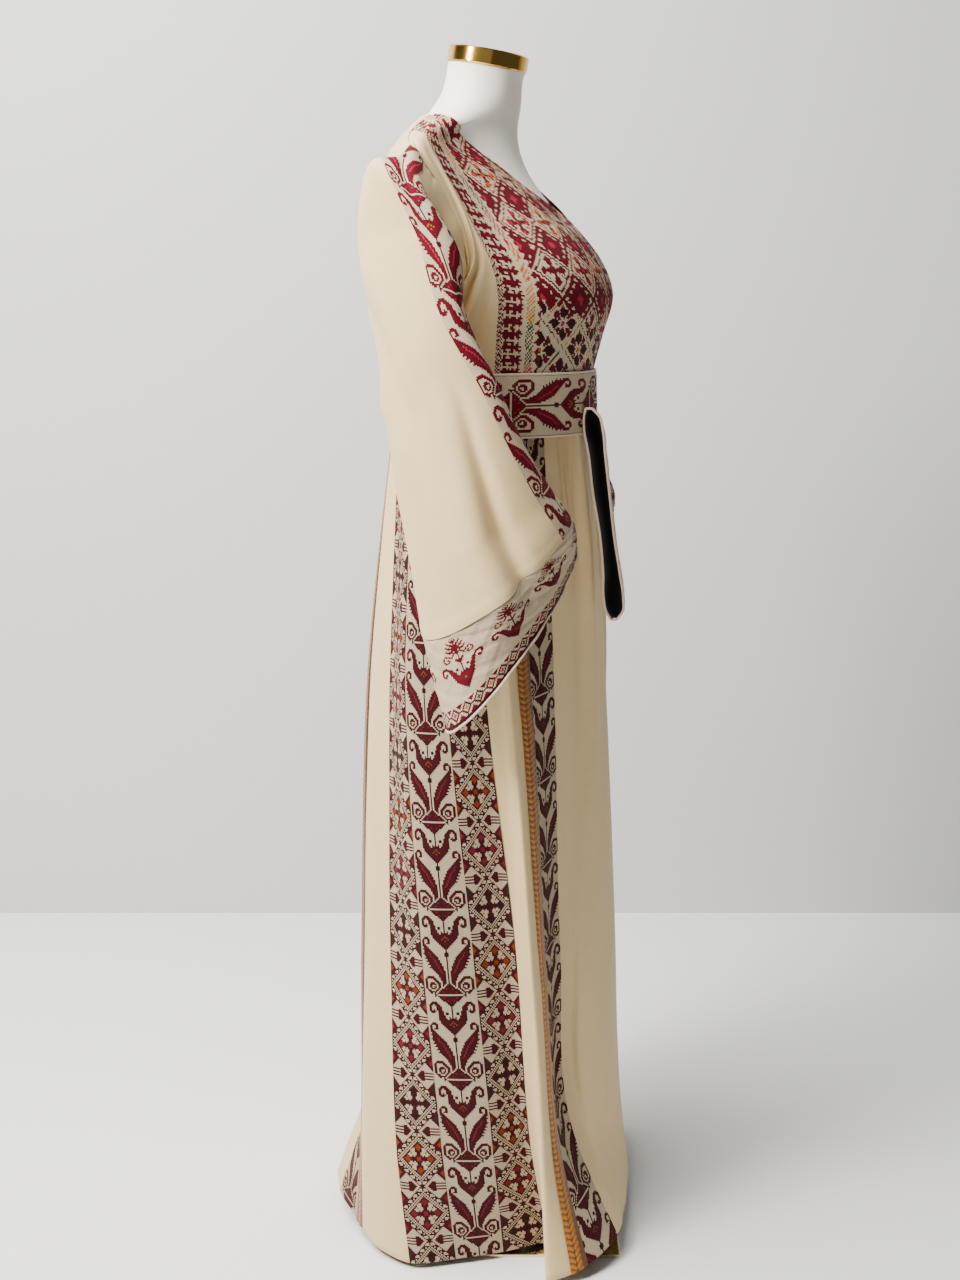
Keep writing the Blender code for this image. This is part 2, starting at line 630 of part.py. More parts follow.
RING_POINTS = 48
ARMHOLE_INSET = 0.0042
ARMHOLE_STEP = 0.006
OVERARM_SHARPNESS = 1.1


def armhole_ring(step_out):
    """The armhole from the shoulder tip down its back and up its front, drawn in and stepped out sideways."""
    back = Edge(tuple(reversed(ARMHOLE_BACK)))
    front = Edge(ARMHOLE_FRONT)
    ring = []
    for index in range(RING_POINTS):
        share = 2.0 * index / RING_POINTS
        place, height = back.at(share) if share < 1.0 else front.at(share - 1.0)
        ring.append(torso_point(place, height) + Vector((-step_out, 0.0, 0.0)))
    middle = sum(ring, Vector()) / len(ring)
    return [point + (middle - point).normalized() * ARMHOLE_INSET for point in ring]


def sleeve_ring(row):
    """A ring from its four points: a smooth oval that is sharper at the overarm and underarm lines."""
    over, out, under, inside = (Vector(row[1 + 3 * corner:4 + 3 * corner]) for corner in range(4))
    middle = (over + under) / 2
    ring = []
    for index in range(RING_POINTS):
        turn = 2 * math.pi * index / RING_POINTS
        along, across = math.cos(turn), math.sin(turn)
        side = out - middle if across > 0 else middle - inside
        ring.append(middle + (over - middle) * along + side * math.copysign(abs(across) ** OVERARM_SHARPNESS, across))
    return ring


class Tube:
    """A sleeve's surface: places round it are lengths from the overarm line, first over its outer side."""

    def __init__(self, rings):
        self.tracks = [Curve([ring[index] for ring in rings]) for index in range(RING_POINTS)]
        self.sections = {}

    def section(self, place):
        key = round(place, 6)
        if key not in self.sections:
            self.sections[key] = Curve([track.at(place) for track in self.tracks], closed=True)
        return self.sections[key]

    def girth(self, place):
        return self.section(place).stops[-1]

    def at(self, length, place):
        section = self.section(place)
        return section.by_length((length / section.stops[-1]) % 1.0)


SLEEVE_TUBE = Tube([armhole_ring(0.0), armhole_ring(ARMHOLE_STEP)] + [sleeve_ring(row) for row in SLEEVE_RINGS])
CUFF_SEAM_PLACE = 1.0 + CUFF_SEAM_RING
MOUTH_PLACE = 1.0 + len(SLEEVE_RINGS)
SEAM_STEP = 0.004
SLEEVE_STRIP_GAP = 0.0008
PIPING_DROP = 6 * SEAM_GAP


def sleeve_surface(share, place):
    """share runs round the sleeve from one edge of its strip to the other."""
    body = SLEEVE_TUBE.girth(place) - SLEEVE_STRIP_WIDTH
    return SLEEVE_TUBE.at(SLEEVE_STRIP_WIDTH / 2 + share * body, place)


def sleeve_strip_surface(share, place):
    return SLEEVE_TUBE.at(share * SLEEVE_STRIP_WIDTH / 2, place)


def cuff_surface(share, place):
    return SLEEVE_TUBE.at(share * SLEEVE_TUBE.girth(place), place)


def build_sleeves():
    upper = [0.0, 1.0, 1.35] + spread(12, 1.7, CUFF_SEAM_PLACE - SEAM_STEP)
    girth = SLEEVE_TUBE.girth(CUFF_SEAM_PLACE)
    strip_share = SLEEVE_STRIP_WIDTH / 2 / girth
    round_cuff = spread(4, -strip_share, strip_share) + spread(18, strip_share, 1.0 - strip_share)[1:-1]
    cuff_rows = spread(4, CUFF_SEAM_PLACE + SEAM_STEP, MOUTH_PLACE)
    piping = []
    for share in round_cuff:
        edge = cuff_surface(share, MOUTH_PLACE)
        inward = surface_normal(cuff_surface, share, MOUTH_PLACE - 0.01)
        along = (cuff_surface(share + 0.01, MOUTH_PLACE) - cuff_surface(share - 0.01, MOUTH_PLACE)).normalized()
        down = edge - cuff_surface(share, MOUTH_PLACE - 0.1)
        down = (down - along * down.dot(along)).normalized()
        piping.append(edge + down * (PIPING_RADIUS + PIPING_DROP) + inward * (STRIP_WALL / 2))
    for suffix, mirrored in (("_r", False), ("_l", True)):
        wall("sleeve" + suffix, sleeve_surface, spread(16), upper, "cream_cloth", mirrored=mirrored, outward=-1.0,
             gap=SLEEVE_STRIP_GAP)
        wall("sleeve_strip" + suffix, sleeve_strip_surface, spread(4, -1.0, 1.0), upper, "embroidered_cloth",
             mirrored=mirrored, outward=-1.0, gap=SLEEVE_STRIP_GAP)
        wall("cuff" + suffix, cuff_surface, round_cuff, cuff_rows, "embroidered_cloth", STRIP_WALL,
             mirrored=mirrored, outward=-1.0, closed=True)
        tube("cuff_piping" + suffix, piping, PIPING_RADIUS, "cream_piping", sides=5, mirrored=mirrored)


# Belt


def belt_surface(place, up):
    """The belt's inner face: straight from its bottom edge to its top edge, just off the cloth."""
    edges = []
    for height in (BELT_BOTTOM, BELT_TOP):
        point = torso_point(place, height)
        along = torso_point(place + 0.01, height) - torso_point(place - 0.01, height)
        outward = Vector((-along.y, along.x, 0.0)).normalized()
        edges.append(point + outward * BELT_EASE)
    return edges[0].lerp(edges[1], up)


def build_belt():
    places = [step * ROUND_PLACES / 36 for step in range(36)]
    wall("belt", belt_surface, places, spread(2), "embroidered_cloth", BELT_WALL, lift=BELT_WALL, closed=True)
    reach = PIPING_RADIUS + SEAM_GAP
    for name, up, direction in (("belt_piping_top", 1.0, 1.0), ("belt_piping_bottom", 0.0, -1.0)):
        path = []
        for place in places:
            normal = surface_normal(belt_surface, place, 0.5)
            path.append(belt_surface(place, up) + normal * (BELT_WALL / 2) + Vector((0, 0, direction * reach)))
        tube(name, path, PIPING_RADIUS, "cream_piping", sides=5)


TAIL_HEIGHTS = [row[0] for row in reversed(TAIL_ROWS)]
TAIL_EDGES = [Vector(row[1:]) for row in reversed(TAIL_ROWS)]
TAIL_SLOPES = slopes(TAIL_EDGES, TAIL_HEIGHTS, False)


def tail_surface(across, up):
    """A length cupped like a gutter, open to the wearer's right: across runs from its back edge to its front one."""
    place = min(max(up, 0.0), 1.0) * (len(TAIL_HEIGHTS) - 1)
    span = min(int(place), len(TAIL_HEIGHTS) - 2)
    share = place - span
    width = TAIL_HEIGHTS[span + 1] - TAIL_HEIGHTS[span]
    edges = hermite(TAIL_EDGES[span], TAIL_EDGES[span + 1], TAIL_SLOPES[span], TAIL_SLOPES[span + 1], width, share)
    height = TAIL_HEIGHTS[span] + width * share
    back_y, front_y = edges.x, edges.y
    from_end = min(height - TAIL_HEIGHTS[0], TAIL_HEIGHTS[-1] - height)
    taper = min(1.0, TAIL_END_SHARE + TAIL_END_RATE * from_end)
    turn = math.pi * (across + 1) / 2
    depth = TAIL_DEPTH * taper * math.sin(turn) ** TAIL_FULLNESS if 0 < turn < math.pi else 0.0
    return Vector((TAIL_OPEN_X + depth, (back_y + front_y) / 2 + (back_y - front_y) / 2 * math.cos(turn), height))


def build_tail():
    columns = [-1.0, -0.93, -0.78, -0.55, -0.28, 0.0, 0.28, 0.55, 0.78, 0.93, 1.0]
    rows = spread(len(TAIL_HEIGHTS) - 1)
    wall("belt_tail", tail_surface, columns, rows, "embroidered_cloth", TAIL_WALL)
    wall("belt_tail_lining", tail_surface, columns, rows, "black_velvet", TAIL_WALL * 0.75,
         lift=-(TAIL_WALL + SEAM_GAP))
    off = Vector((-(PIPING_RADIUS + SEAM_GAP), 0.0, 0.0))
    inward = TAIL_WALL
    path = []
    for up in rows:
        path.append(tail_surface(-1.0, up) + off + Vector((0.0, -inward, 0.0)))
    for up in reversed(rows):
        path.append(tail_surface(1.0, up) + off + Vector((0.0, inward, 0.0)))
    tube("belt_tail_piping", path, PIPING_RADIUS, "cream_piping", sides=5)


# Dress form


def loft(name, rings, finish, smooth_angle=60.0):
    """A solid through rings of points, stacked upwards, with flat ends."""
    count = len(rings[0])
    points = [point for ring in rings for point in ring]
    faces = [tuple(reversed(range(count)))]
    for row in range(len(rings) - 1):
        for column in range(count):
            after = (column + 1) % count
            a, b = row * count + column, row * count + after
            faces.append((a, b, b + count, a + count))
    faces.append(tuple(range((len(rings) - 1) * count, len(rings) * count)))
    return add_object(name, points, faces, finish, smooth_angle)


def form_ring(rows, row, count, drop):
    """A section of the form, drawn in from the robe by the row's ease. It runs round through the wearer's left."""
    section = rows.section(row[0])
    ease = row[-1]
    ring = []
    for step in range(count):
        place = -ROUND_PLACES * step / count
        along = section.at(place + 0.01) - section.at(place - 0.01)
        outward = Vector((-along.y, along.x, 0.0)).normalized()
        point = section.at(place) - outward * ease
        ring.append(Vector((point.x, point.y, point.z - drop)))
    return ring


def build_form():
    count = 28
    hips = Rows(HIP_ROWS)
    rings = [form_ring(hips, row, count, 0.0) for row in HIP_ROWS]
    for row in TORSO_ROWS:
        rings.append(form_ring(TORSO, row, count, FORM_DROP if row[0] > 1.4 else 0.0))
    top = []
    for step in range(count):
        turn = 2 * math.pi * step / count
        x, y = NECK_RADIUS * math.sin(turn), -NECK_RADIUS * math.cos(turn)
        top.append(Vector((x, CAP_CENTRE.y + y, CAP_CENTRE.z - SEAM_GAP + y * math.tan(CAP_TILT))))
    rings.append(top)
    loft("form_body", rings, "form_ivory")


def turned(name, profile, count, finish, smooth_angle=30.0):
    """A solid turned about the z axis from (radius, height) points, bottom to top."""
    rings = []
    for radius, height in profile:
        ring = []
        for step in range(count):
            turn = 2 * math.pi * step / count
            ring.append(Vector((radius * math.cos(turn), radius * math.sin(turn), height)))
        rings.append(ring)
    return loft(name, rings, finish, smooth_angle)


def build_cap():
    soft = CAP_SOFTNESS
    profile = ((CAP_RADIUS - soft, 0.0), (CAP_RADIUS, soft), (CAP_RADIUS, CAP_HEIGHT - soft),
               (CAP_RADIUS - soft, CAP_HEIGHT))
    cap = turned("form_cap", profile, 40, "polished_brass")
    cap.location = CAP_CENTRE
    cap.rotation_euler = (CAP_TILT, 0.0, 0.0)


def build_stand():
    pole_profile = ((POLE_RADIUS, BASE_THICKNESS + SEAM_GAP), (POLE_RADIUS, FORM_BOTTOM - SEAM_GAP))
    pole = turned("form_pole", pole_profile, 20, "polished_brass")
    pole.location = BASE_CENTRE
    half = BASE_SIDE / 2
    corners = ((-1, -1), (1, -1), (1, 1), (-1, 1))
    levels = ((half, 0.0), (half, BASE_THICKNESS - BASE_SOFTNESS), (half - BASE_SOFTNESS, BASE_THICKNESS))
    rings = [[Vector((x * size, y * size, height)) for x, y in corners] for size, height in levels]
    plate = loft("form_base", rings, "mirror_plate", 30.0)
    plate.location = BASE_CENTRE
    plate.rotation_euler = (0.0, 0.0, BASE_TURN)


def main():
    clear_scene()
    build_form()
    build_cap()
    build_stand()
    build_skirt()
    build_bodice()
    build_sleeves()
    build_belt()
    build_tail()


main()
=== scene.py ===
"""Looks of the embroidered thobe robe on its dress form: cloth with creases, cross-stitch, braid, piping and stand."""

import math

import bmesh
import bpy
import numpy as np
from bpy.props import FloatProperty, FloatVectorProperty, PointerProperty
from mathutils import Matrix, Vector


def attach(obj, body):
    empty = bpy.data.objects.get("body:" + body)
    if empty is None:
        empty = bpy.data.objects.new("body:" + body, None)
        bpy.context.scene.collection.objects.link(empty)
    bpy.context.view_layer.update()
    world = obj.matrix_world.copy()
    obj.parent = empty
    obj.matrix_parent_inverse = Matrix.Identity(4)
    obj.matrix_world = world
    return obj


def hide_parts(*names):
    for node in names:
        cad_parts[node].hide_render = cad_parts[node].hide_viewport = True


bl_info = {
    "name": "Thobe robe",
    "version": (1, 0, 0),
    "blender": (4, 5, 0),
    "location": "3D View > Sidebar > Thobe",
    "description": "Builds the embroidered thobe robe on its dress form",
    "category": "Object",
}

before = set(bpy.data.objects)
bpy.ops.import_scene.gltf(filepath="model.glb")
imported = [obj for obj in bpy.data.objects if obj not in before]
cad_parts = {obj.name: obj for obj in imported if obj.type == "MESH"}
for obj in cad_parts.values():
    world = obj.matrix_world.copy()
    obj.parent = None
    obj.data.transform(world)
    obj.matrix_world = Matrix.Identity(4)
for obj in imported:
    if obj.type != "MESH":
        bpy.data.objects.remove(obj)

# Sizes of the robe, in metres
SEAM_GAP = 0.0003
WAIST_SEAM = 1.165
HIP_LEVEL = 0.80
KNEE_LEVEL = 0.42
CALF_LEVEL = 0.16
BELT_BOTTOM = 1.127
BELT_TOP = 1.203
UNDERARM = 1.300
BELT_WALL = 0.0030
BELT_EASE = 0.0016
TAIL_DEPTH = 0.028
TAIL_OPEN_X = -0.052
SLEEVE_STRIP_WIDTH = 0.062
PIPING_RADIUS = 0.0016

# Turn of the hanging skirt at each level from the floor to the waist, in degrees
TURN_LEVELS = (0.0, CALF_LEVEL, KNEE_LEVEL, HIP_LEVEL, WAIST_SEAM)
TURNS = (9.0, 6.0, 3.0, 0.0, 0.0)

# Seams and folds of the right half of the skirt, from the centre front to the centre back.
# Columns: name, then x and y at the waist, hip, knee, calf and hem, then the height of the hem there.
SKIRT_LINES = (
    ("front_centre", 0.000, -0.150, 0.000, -0.176, 0.000, -0.195, 0.000, -0.206, 0.000, -0.220, 0.036),
    ("front_ridge", -0.058, -0.138, -0.049, -0.165, -0.097, -0.154, -0.115, -0.170, -0.100, -0.214, 0.035),
    ("strip_inner", -0.104, -0.107, -0.111, -0.126, -0.115, -0.132, -0.135, -0.148, -0.180, -0.205, 0.032),
    ("strip_outer", -0.135, -0.062, -0.159, -0.100, -0.174, -0.117, -0.198, -0.131, -0.244, -0.157, 0.016),
    ("braid_edge", -0.139, -0.052, -0.171, -0.092, -0.186, -0.113, -0.208, -0.126, -0.250, -0.146, 0.012),
    ("gore_ridge", -0.141, -0.048, -0.184, -0.082, -0.201, -0.104, -0.226, -0.112, -0.262, -0.110, 0.007),
    ("gore_groove", -0.1425, -0.044, -0.175, -0.068, -0.191, -0.095, -0.211, -0.104, -0.212, -0.116, 0.008),
    ("side_front", -0.1435, -0.040, -0.178, -0.049, -0.185, -0.083, -0.192, -0.094, -0.176, -0.110, 0.010),
    ("seam_front", -0.147, 0.011, -0.195, 0.000, -0.210, -0.030, -0.218, -0.045, -0.200, -0.047, 0.010),
    ("seam_back", -0.126, 0.058, -0.188, 0.057, -0.218, 0.038, -0.226, 0.023, -0.221, 0.017, 0.009),
    ("side_back", -0.086, 0.089, -0.142, 0.091, -0.188, 0.089, -0.224, 0.086, -0.234, 0.079, 0.008),
    ("back_gore", -0.081, 0.092, -0.118, 0.120, -0.159, 0.124, -0.195, 0.127, -0.207, 0.123, 0.010),
    ("back_braid", -0.076, 0.095, -0.102, 0.130, -0.138, 0.138, -0.167, 0.144, -0.158, 0.156, 0.018),
    ("back_strip_outer", -0.065, 0.099, -0.091, 0.135, -0.127, 0.143, -0.155, 0.147, -0.148, 0.162, 0.021),
    ("back_strip_inner", -0.018, 0.109, -0.039, 0.148, -0.063, 0.154, -0.089, 0.154, -0.084, 0.197, 0.030),
    ("back_centre", 0.000, 0.110, 0.000, 0.148, 0.000, 0.158, 0.000, 0.163, 0.000, 0.205, 0.035),
)
SKIRT_NAMES = [line[0] for line in SKIRT_LINES]

# Sections of the bodice. Columns: height, front y, chest x and y, side x and y, shoulder blade x and y, back y.
TORSO_ROWS = (
    (1.125, -0.1560, 0.1095, -0.1105, 0.1570, 0.003, 0.1130, 0.083, 0.1165),
    (1.165, -0.1500, 0.1045, -0.1060, 0.1480, 0.000, 0.1045, 0.078, 0.110),
    (1.203, -0.1540, 0.1055, -0.1090, 0.1490, 0.000, 0.1055, 0.079, 0.112),
    (1.250, -0.1660, 0.1080, -0.1170, 0.1530, 0.000, 0.1080, 0.083, 0.116),
    (1.310, -0.1790, 0.1130, -0.1240, 0.1580, 0.003, 0.1120, 0.088, 0.121),
    (1.350, -0.1630, 0.1150, -0.1010, 0.1620, 0.008, 0.1150, 0.092, 0.124),
    (1.380, -0.1400, 0.1160, -0.0720, 0.1680, 0.014, 0.1180, 0.094, 0.126),
    (1.410, -0.1120, 0.1160, -0.0450, 0.1740, 0.022, 0.1220, 0.096, 0.127),
    (1.440, -0.0890, 0.1160, -0.0200, 0.1800, 0.030, 0.1260, 0.096, 0.125),
    (1.465, -0.0750, 0.1140, -0.0020, 0.1820, 0.040, 0.1270, 0.092, 0.120),
    (1.485, -0.0660, 0.1080, 0.0100, 0.1700, 0.045, 0.1200, 0.086, 0.112),
    (1.500, -0.0610, 0.0980, 0.0120, 0.1480, 0.045, 0.1060, 0.079, 0.103),
    (1.515, -0.0580, 0.0800, 0.0000, 0.1180, 0.040, 0.0860, 0.071, 0.092),
    (1.530, -0.0570, 0.0600, -0.0220, 0.0880, 0.028, 0.0660, 0.062, 0.078),
    (1.545, -0.0570, 0.0470, -0.0340, 0.0680, 0.012, 0.0500, 0.050, 0.066),
)

# Edges of the bodice's pieces on the torso. Columns: place round the torso (0 front, 2 side, 4 back), height.
SHOULDER_TIP = (2.15, 1.487)
SHOULDER_MID = (2.70, 1.510)
SHOULDER_NECK = (2.75, 1.533)
NECKLINE = ((0.0, 1.405), (0.1, 1.411), (0.26, 1.426), (0.42, 1.446), (0.6, 1.474), (0.8, 1.496), (1.0, 1.509),
            (1.5, 1.523), (2.2, 1.532), SHOULDER_NECK)
BACK_NECK = ((4.0, 1.532), (3.2, 1.533), SHOULDER_NECK)
CHEST_EDGE = ((1.55, WAIST_SEAM), (1.56, 1.240), (1.55, 1.310), (1.50, 1.380), (1.44, 1.440), (1.47, 1.478),
              (1.70, 1.498), (2.15, 1.507), SHOULDER_MID)
SIDE_SEAM = ((2.05, WAIST_SEAM), (2.05, 1.230), (2.05, UNDERARM))
ARMHOLE_FRONT = ((2.05, UNDERARM), (1.83, 1.325), (1.72, 1.365), (1.68, 1.410), (1.70, 1.450), (1.86, 1.478),
                 SHOULDER_TIP)
ARMHOLE_BACK = ((2.05, UNDERARM), (2.28, 1.325), (2.44, 1.365), (2.50, 1.410), (2.46, 1.450), (2.32, 1.478),
                SHOULDER_TIP)
PLACE_LENGTH = 0.1
ROUND_PLACES = 8

# Rings of the right sleeve and cuff. Each has four points: on the overarm line, out, on the underarm line and in.
# Columns: name, then x, y and z of each of the four.
SLEEVE_RINGS = (
    ("upper", -0.204, 0.050, 1.461, -0.187, 0.101, 1.421, -0.177, 0.030, 1.285, -0.193, 0.008, 1.387),
    ("biceps", -0.231, -0.002, 1.365, -0.206, 0.102, 1.345, -0.187, 0.047, 1.225, -0.193, -0.020, 1.310),
    ("elbow", -0.230, -0.035, 1.275, -0.246, 0.030, 1.245, -0.207, 0.079, 1.180, -0.182, 0.010, 1.235),
    ("forearm", -0.221, -0.071, 1.203, -0.255, -0.012, 1.170, -0.224, 0.065, 1.125, -0.184, 0.000, 1.165),
    ("low", -0.209, -0.101, 1.130, -0.262, -0.040, 1.088, -0.230, 0.053, 1.052, -0.189, -0.020, 1.090),
    ("wrist", -0.190, -0.134, 1.068, -0.269, -0.062, 1.006, -0.237, 0.036, 0.972, -0.191, -0.045, 1.012),
    ("seam", -0.169, -0.158, 1.026, -0.273, -0.086, 0.931, -0.239, 0.020, 0.884, -0.191, -0.068, 0.955),
    ("cuff", -0.133, -0.158, 1.002, -0.267, -0.098, 0.902, -0.243, 0.004, 0.825, -0.188, -0.082, 0.912),
    ("mouth", -0.098, -0.152, 0.976, -0.256, -0.110, 0.862, -0.248, -0.013, 0.764, -0.190, -0.083, 0.872),
)
RING_POINTS = 48
ARMHOLE_INSET = 0.0008
ARMHOLE_TUCK = 0.0015
ARMHOLE_STEP = 0.006
OVERARM_SHARPNESS = 1.1
CUFF_SEAM_PLACE = 8.0
ABOVE_SEAM_PLACE = 7.75
MOUTH_PLACE = 10.0
STRIP_TURN = 0.014

# Belt tail, open towards the wearer's right. Columns: height, back edge y, front edge y.
TAIL_ROWS = (
    (0.877, -0.1917, -0.2009),
    (0.887, -0.1856, -0.2086),
    (0.905, -0.1818, -0.2097),
    (0.940, -0.1806, -0.2045),
    (0.985, -0.1763, -0.1968),
    (1.050, -0.1650, -0.1886),
    (1.100, -0.1585, -0.1824),
    (1.130, -0.1525, -0.1790),
    (1.150, -0.1525, -0.1725),
    (1.158, -0.1545, -0.1640),
)


# Curves and surfaces, worked out for whole grids of points


def slopes(points, stops):
    """Slopes along axis 0 of an open curve, from the chords on both sides."""
    widths = stops[1:] - stops[:-1]
    chords = (points[1:] - points[:-1]) / widths
    inner = (chords[:-1] * widths[1:] + chords[1:] * widths[:-1]) / (widths[1:] + widths[:-1])
    return np.concatenate([chords[:1], inner, chords[-1:]])


def hermite(start, end, slope_start, slope_end, width, place):
    square = place * place
    cube = square * place
    return (start * (2 * cube - 3 * square + 1) + slope_start * width * (cube - 2 * square + place)
            + end * (3 * square - 2 * cube) + slope_end * width * (cube - square))


def along_track(points, stops, wanted):
    """The open curve through points (count, ...) at stops (count,), at each of the wanted stops."""
    shape = (-1,) + (1,) * (points.ndim - 1)
    found = slopes(points, stops.reshape(shape))
    span = np.clip(np.searchsorted(stops, wanted, side="right") - 1, 0, len(stops) - 2)
    width = (stops[span + 1] - stops[span])
    place = ((wanted - stops[span]) / width).reshape(shape)
    return hermite(points[span], points[span + 1], found[span], found[span + 1], width.reshape(shape), place)


def open_curve(points):
    """A smooth open curve as a function of shares 0 to 1 of its chord length, with its chord length."""
    points = np.asarray(points, float)
    stops = np.concatenate([[0.0], np.cumsum(np.linalg.norm(np.diff(points, axis=0), axis=1))])
    return lambda shares: along_track(points, stops, np.asarray(shares, float) * stops[-1]), stops[-1]


def ring_chords(rings):
    """Lengths of the chords round closed rings, and the slope at each ring point."""
    after = np.roll(rings, -1, axis=1)
    steps = np.maximum(np.linalg.norm(after - rings, axis=2), 1e-6)
    out = (after - rings) / steps[..., None]
    into = np.roll(out, 1, axis=1)
    before = np.roll(steps, 1, axis=1)
    slope = (into * steps[..., None] + out * before[..., None]) / (steps + before)[..., None]
    return steps, slope


def on_rings(rings, places):
    """Points on closed rings (rows, count, 3) at places (rows, columns), counted in ring points."""
    rows, count = rings.shape[:2]
    places = np.broadcast_to(places, (rows, np.shape(places)[-1]))
    steps, slope = ring_chords(rings)
    places = places % count
    span = np.minimum(places.astype(int), count - 1)
    after = (span + 1) % count
    row = np.arange(rows)[:, None]
    share = (places - span)[..., None]
    return hermite(rings[row, span], rings[row, after], slope[row, span], slope[row, after],
                   steps[row, span][..., None], share)


def on_rings_by_length(rings, lengths):
    """Points on closed rings at lengths (rows, columns) along each ring's chords."""
    rows, count = rings.shape[:2]
    steps, _ = ring_chords(rings)
    stops = np.concatenate([np.zeros((rows, 1)), np.cumsum(steps, axis=1)], axis=1)
    lengths = np.broadcast_to(lengths, (rows, np.shape(lengths)[-1])) % stops[:, -1:]
    places = np.empty(lengths.shape)
    for row in range(rows):
        places[row] = np.interp(lengths[row], stops[row], np.arange(count + 1))
    return on_rings(rings, places)


def skirt_rings(shares):
    """The skirt's sections at shares of its height, each through all seams and folds."""
    right = []
    for line in SKIRT_LINES:
        values = np.array(line[1:11]).reshape(5, 2)[::-1]
        hem = line[11]
        stops = np.array([hem, CALF_LEVEL, KNEE_LEVEL, HIP_LEVEL, WAIST_SEAM])
        heights = hem + (WAIST_SEAM - hem) * shares
        flat = along_track(values, stops, heights)
        right.append(np.column_stack([flat, heights]))
    right = np.stack(right, axis=1)
    left = right[:, -2:0:-1] * (-1.0, 1.0, 1.0)
    rings = np.concatenate([right, left], axis=1)
    turn = np.radians(np.interp(rings[..., 2], TURN_LEVELS, TURNS))
    x, y = rings[..., 0].copy(), rings[..., 1].copy()
    rings[..., 0] = x * np.cos(turn) - y * np.sin(turn)
    rings[..., 1] = x * np.sin(turn) + y * np.cos(turn)
    return rings


def torso_rings(heights):
    """The torso's sections at heights, from the front round by the wearer's right."""
    table = np.array(TORSO_ROWS)
    x = np.column_stack([0 * table[:, 0], -table[:, 2], -table[:, 4], -table[:, 6], 0 * table[:, 0]])
    y = table[:, [1, 3, 5, 7, 8]]
    right = np.stack([along_track(x, table[:, 0], heights), along_track(y, table[:, 0], heights),
                      np.repeat(heights[:, None], 5, axis=1)], axis=2)
    left = right[:, -2:0:-1] * (-1.0, 1.0, 1.0)
    return np.concatenate([right, left], axis=1)


def torso_points(places, heights):
    """Points on the torso for grids of places and heights."""
    rings = torso_rings(heights.ravel())
    return on_rings(rings, places.ravel()[:, None]).reshape(places.shape + (3,))


def edge_curve(*stretches):
    """An edge of smooth stretches through (place, height) points, as a function of shares of its whole length."""
    parts = [open_curve([(place * PLACE_LENGTH, height) for place, height in stretch]) for stretch in stretches]
    lengths = [length for _, length in parts]
    total = sum(lengths)

    def at(shares):
        shares = np.asarray(shares, float)
        out = np.zeros(shares.shape + (2,))
        start = 0.0
        for number, (curve, length) in enumerate(parts):
            low, high = start / total, (start + length) / total
            inside = (shares >= low - 1e-9) if number else np.ones(shares.shape, bool)
            out[inside] = curve(np.clip((shares[inside] - low) / (high - low), 0.0, 1.0))
            start += length
        return out / (PLACE_LENGTH, 1.0)

    return at


def patch(bottom, top, start, end, across, up):
    """Grids of place and height between four edges, for arrays of shares across and up."""
    low, high, left, right = bottom(across), top(across), start(up), end(up)
    low_share = (low[:, 0] - low[0, 0]) / (low[-1, 0] - low[0, 0])
    high_share = (high[:, 0] - high[0, 0]) / (high[-1, 0] - high[0, 0])
    a, u = across[None, :], up[:, None]
    share = low_share * (1 - u) + high_share * u
    ruled = low[:, 1] * (1 - u) + high[:, 1] * u + left[:, 1:] * (1 - a) + right[:, 1:] * a
    corners = (low[0, 1] * (1 - a) + low[-1, 1] * a) * (1 - u) + (high[0, 1] * (1 - a) + high[-1, 1] * a) * u
    return left[:, :1] + (right[:, :1] - left[:, :1]) * share, ruled - corners


def sleeve_rings(places):
    """The right sleeve's sections at places along it: 0 is the armhole and 10 the mouth."""
    back, front = edge_curve(ARMHOLE_BACK[::-1]), edge_curve(ARMHOLE_FRONT)
    share = 2.0 * np.arange(RING_POINTS) / RING_POINTS
    flat = np.where((share < 1.0)[:, None], back(np.minimum(share, 1.0)), front(np.maximum(share - 1.0, 0.0)))
    armhole = torso_points(flat[:, 0], flat[:, 1])
    rings = []
    for step in (0.0, ARMHOLE_STEP):
        ring = armhole - (step, 0.0, 0.0)
        inward = ring.mean(axis=0) - ring
        inset = ARMHOLE_INSET if step else -ARMHOLE_TUCK
        rings.append(ring + inward / np.linalg.norm(inward, axis=1)[:, None] * inset)
    rings[0] = rings[0] + (ARMHOLE_TUCK, 0.0, 0.0)
    turn = 2 * np.pi * np.arange(RING_POINTS) / RING_POINTS
    along, across = np.cos(turn)[:, None], np.sin(turn)[:, None]
    for row in SLEEVE_RINGS:
        over, out, under, inside = np.array(row[1:]).reshape(4, 3)
        middle = (over + under) / 2
        side = np.where(across > 0, out - middle, middle - inside)
        rings.append(middle + (over - middle) * along + side * np.sign(across) * np.abs(across) ** OVERARM_SHARPNESS)
    rings = np.array(rings)
    sections = np.empty((len(places), RING_POINTS, 3))
    for index in range(RING_POINTS):
        track = rings[:, index]
        steps = np.linalg.norm(np.diff(track, axis=0), axis=1)
        stops = np.concatenate([[0.0], np.cumsum(np.maximum(steps, 1e-6))])
        wanted = np.interp(places, np.arange(len(stops)), stops)
        sections[:, index] = along_track(track, stops, wanted)
    return sections


def girths(rings):
    """The length round each ring, as a column."""
    steps, _ = ring_chords(rings)
    return steps.sum(axis=1)[:, None]


def normals(points, closed=False):
    """Outward normals of a grid whose columns run to the wearer's right on the robe's front, and rows run up."""
    if closed:
        along = np.roll(points, -1, axis=1) - np.roll(points, 1, axis=1)
    else:
        along = np.gradient(points, axis=1)
    rise = np.gradient(points, axis=0)
    found = np.cross(rise, along)
    return found / np.maximum(np.linalg.norm(found, axis=2), 1e-12)[..., None]


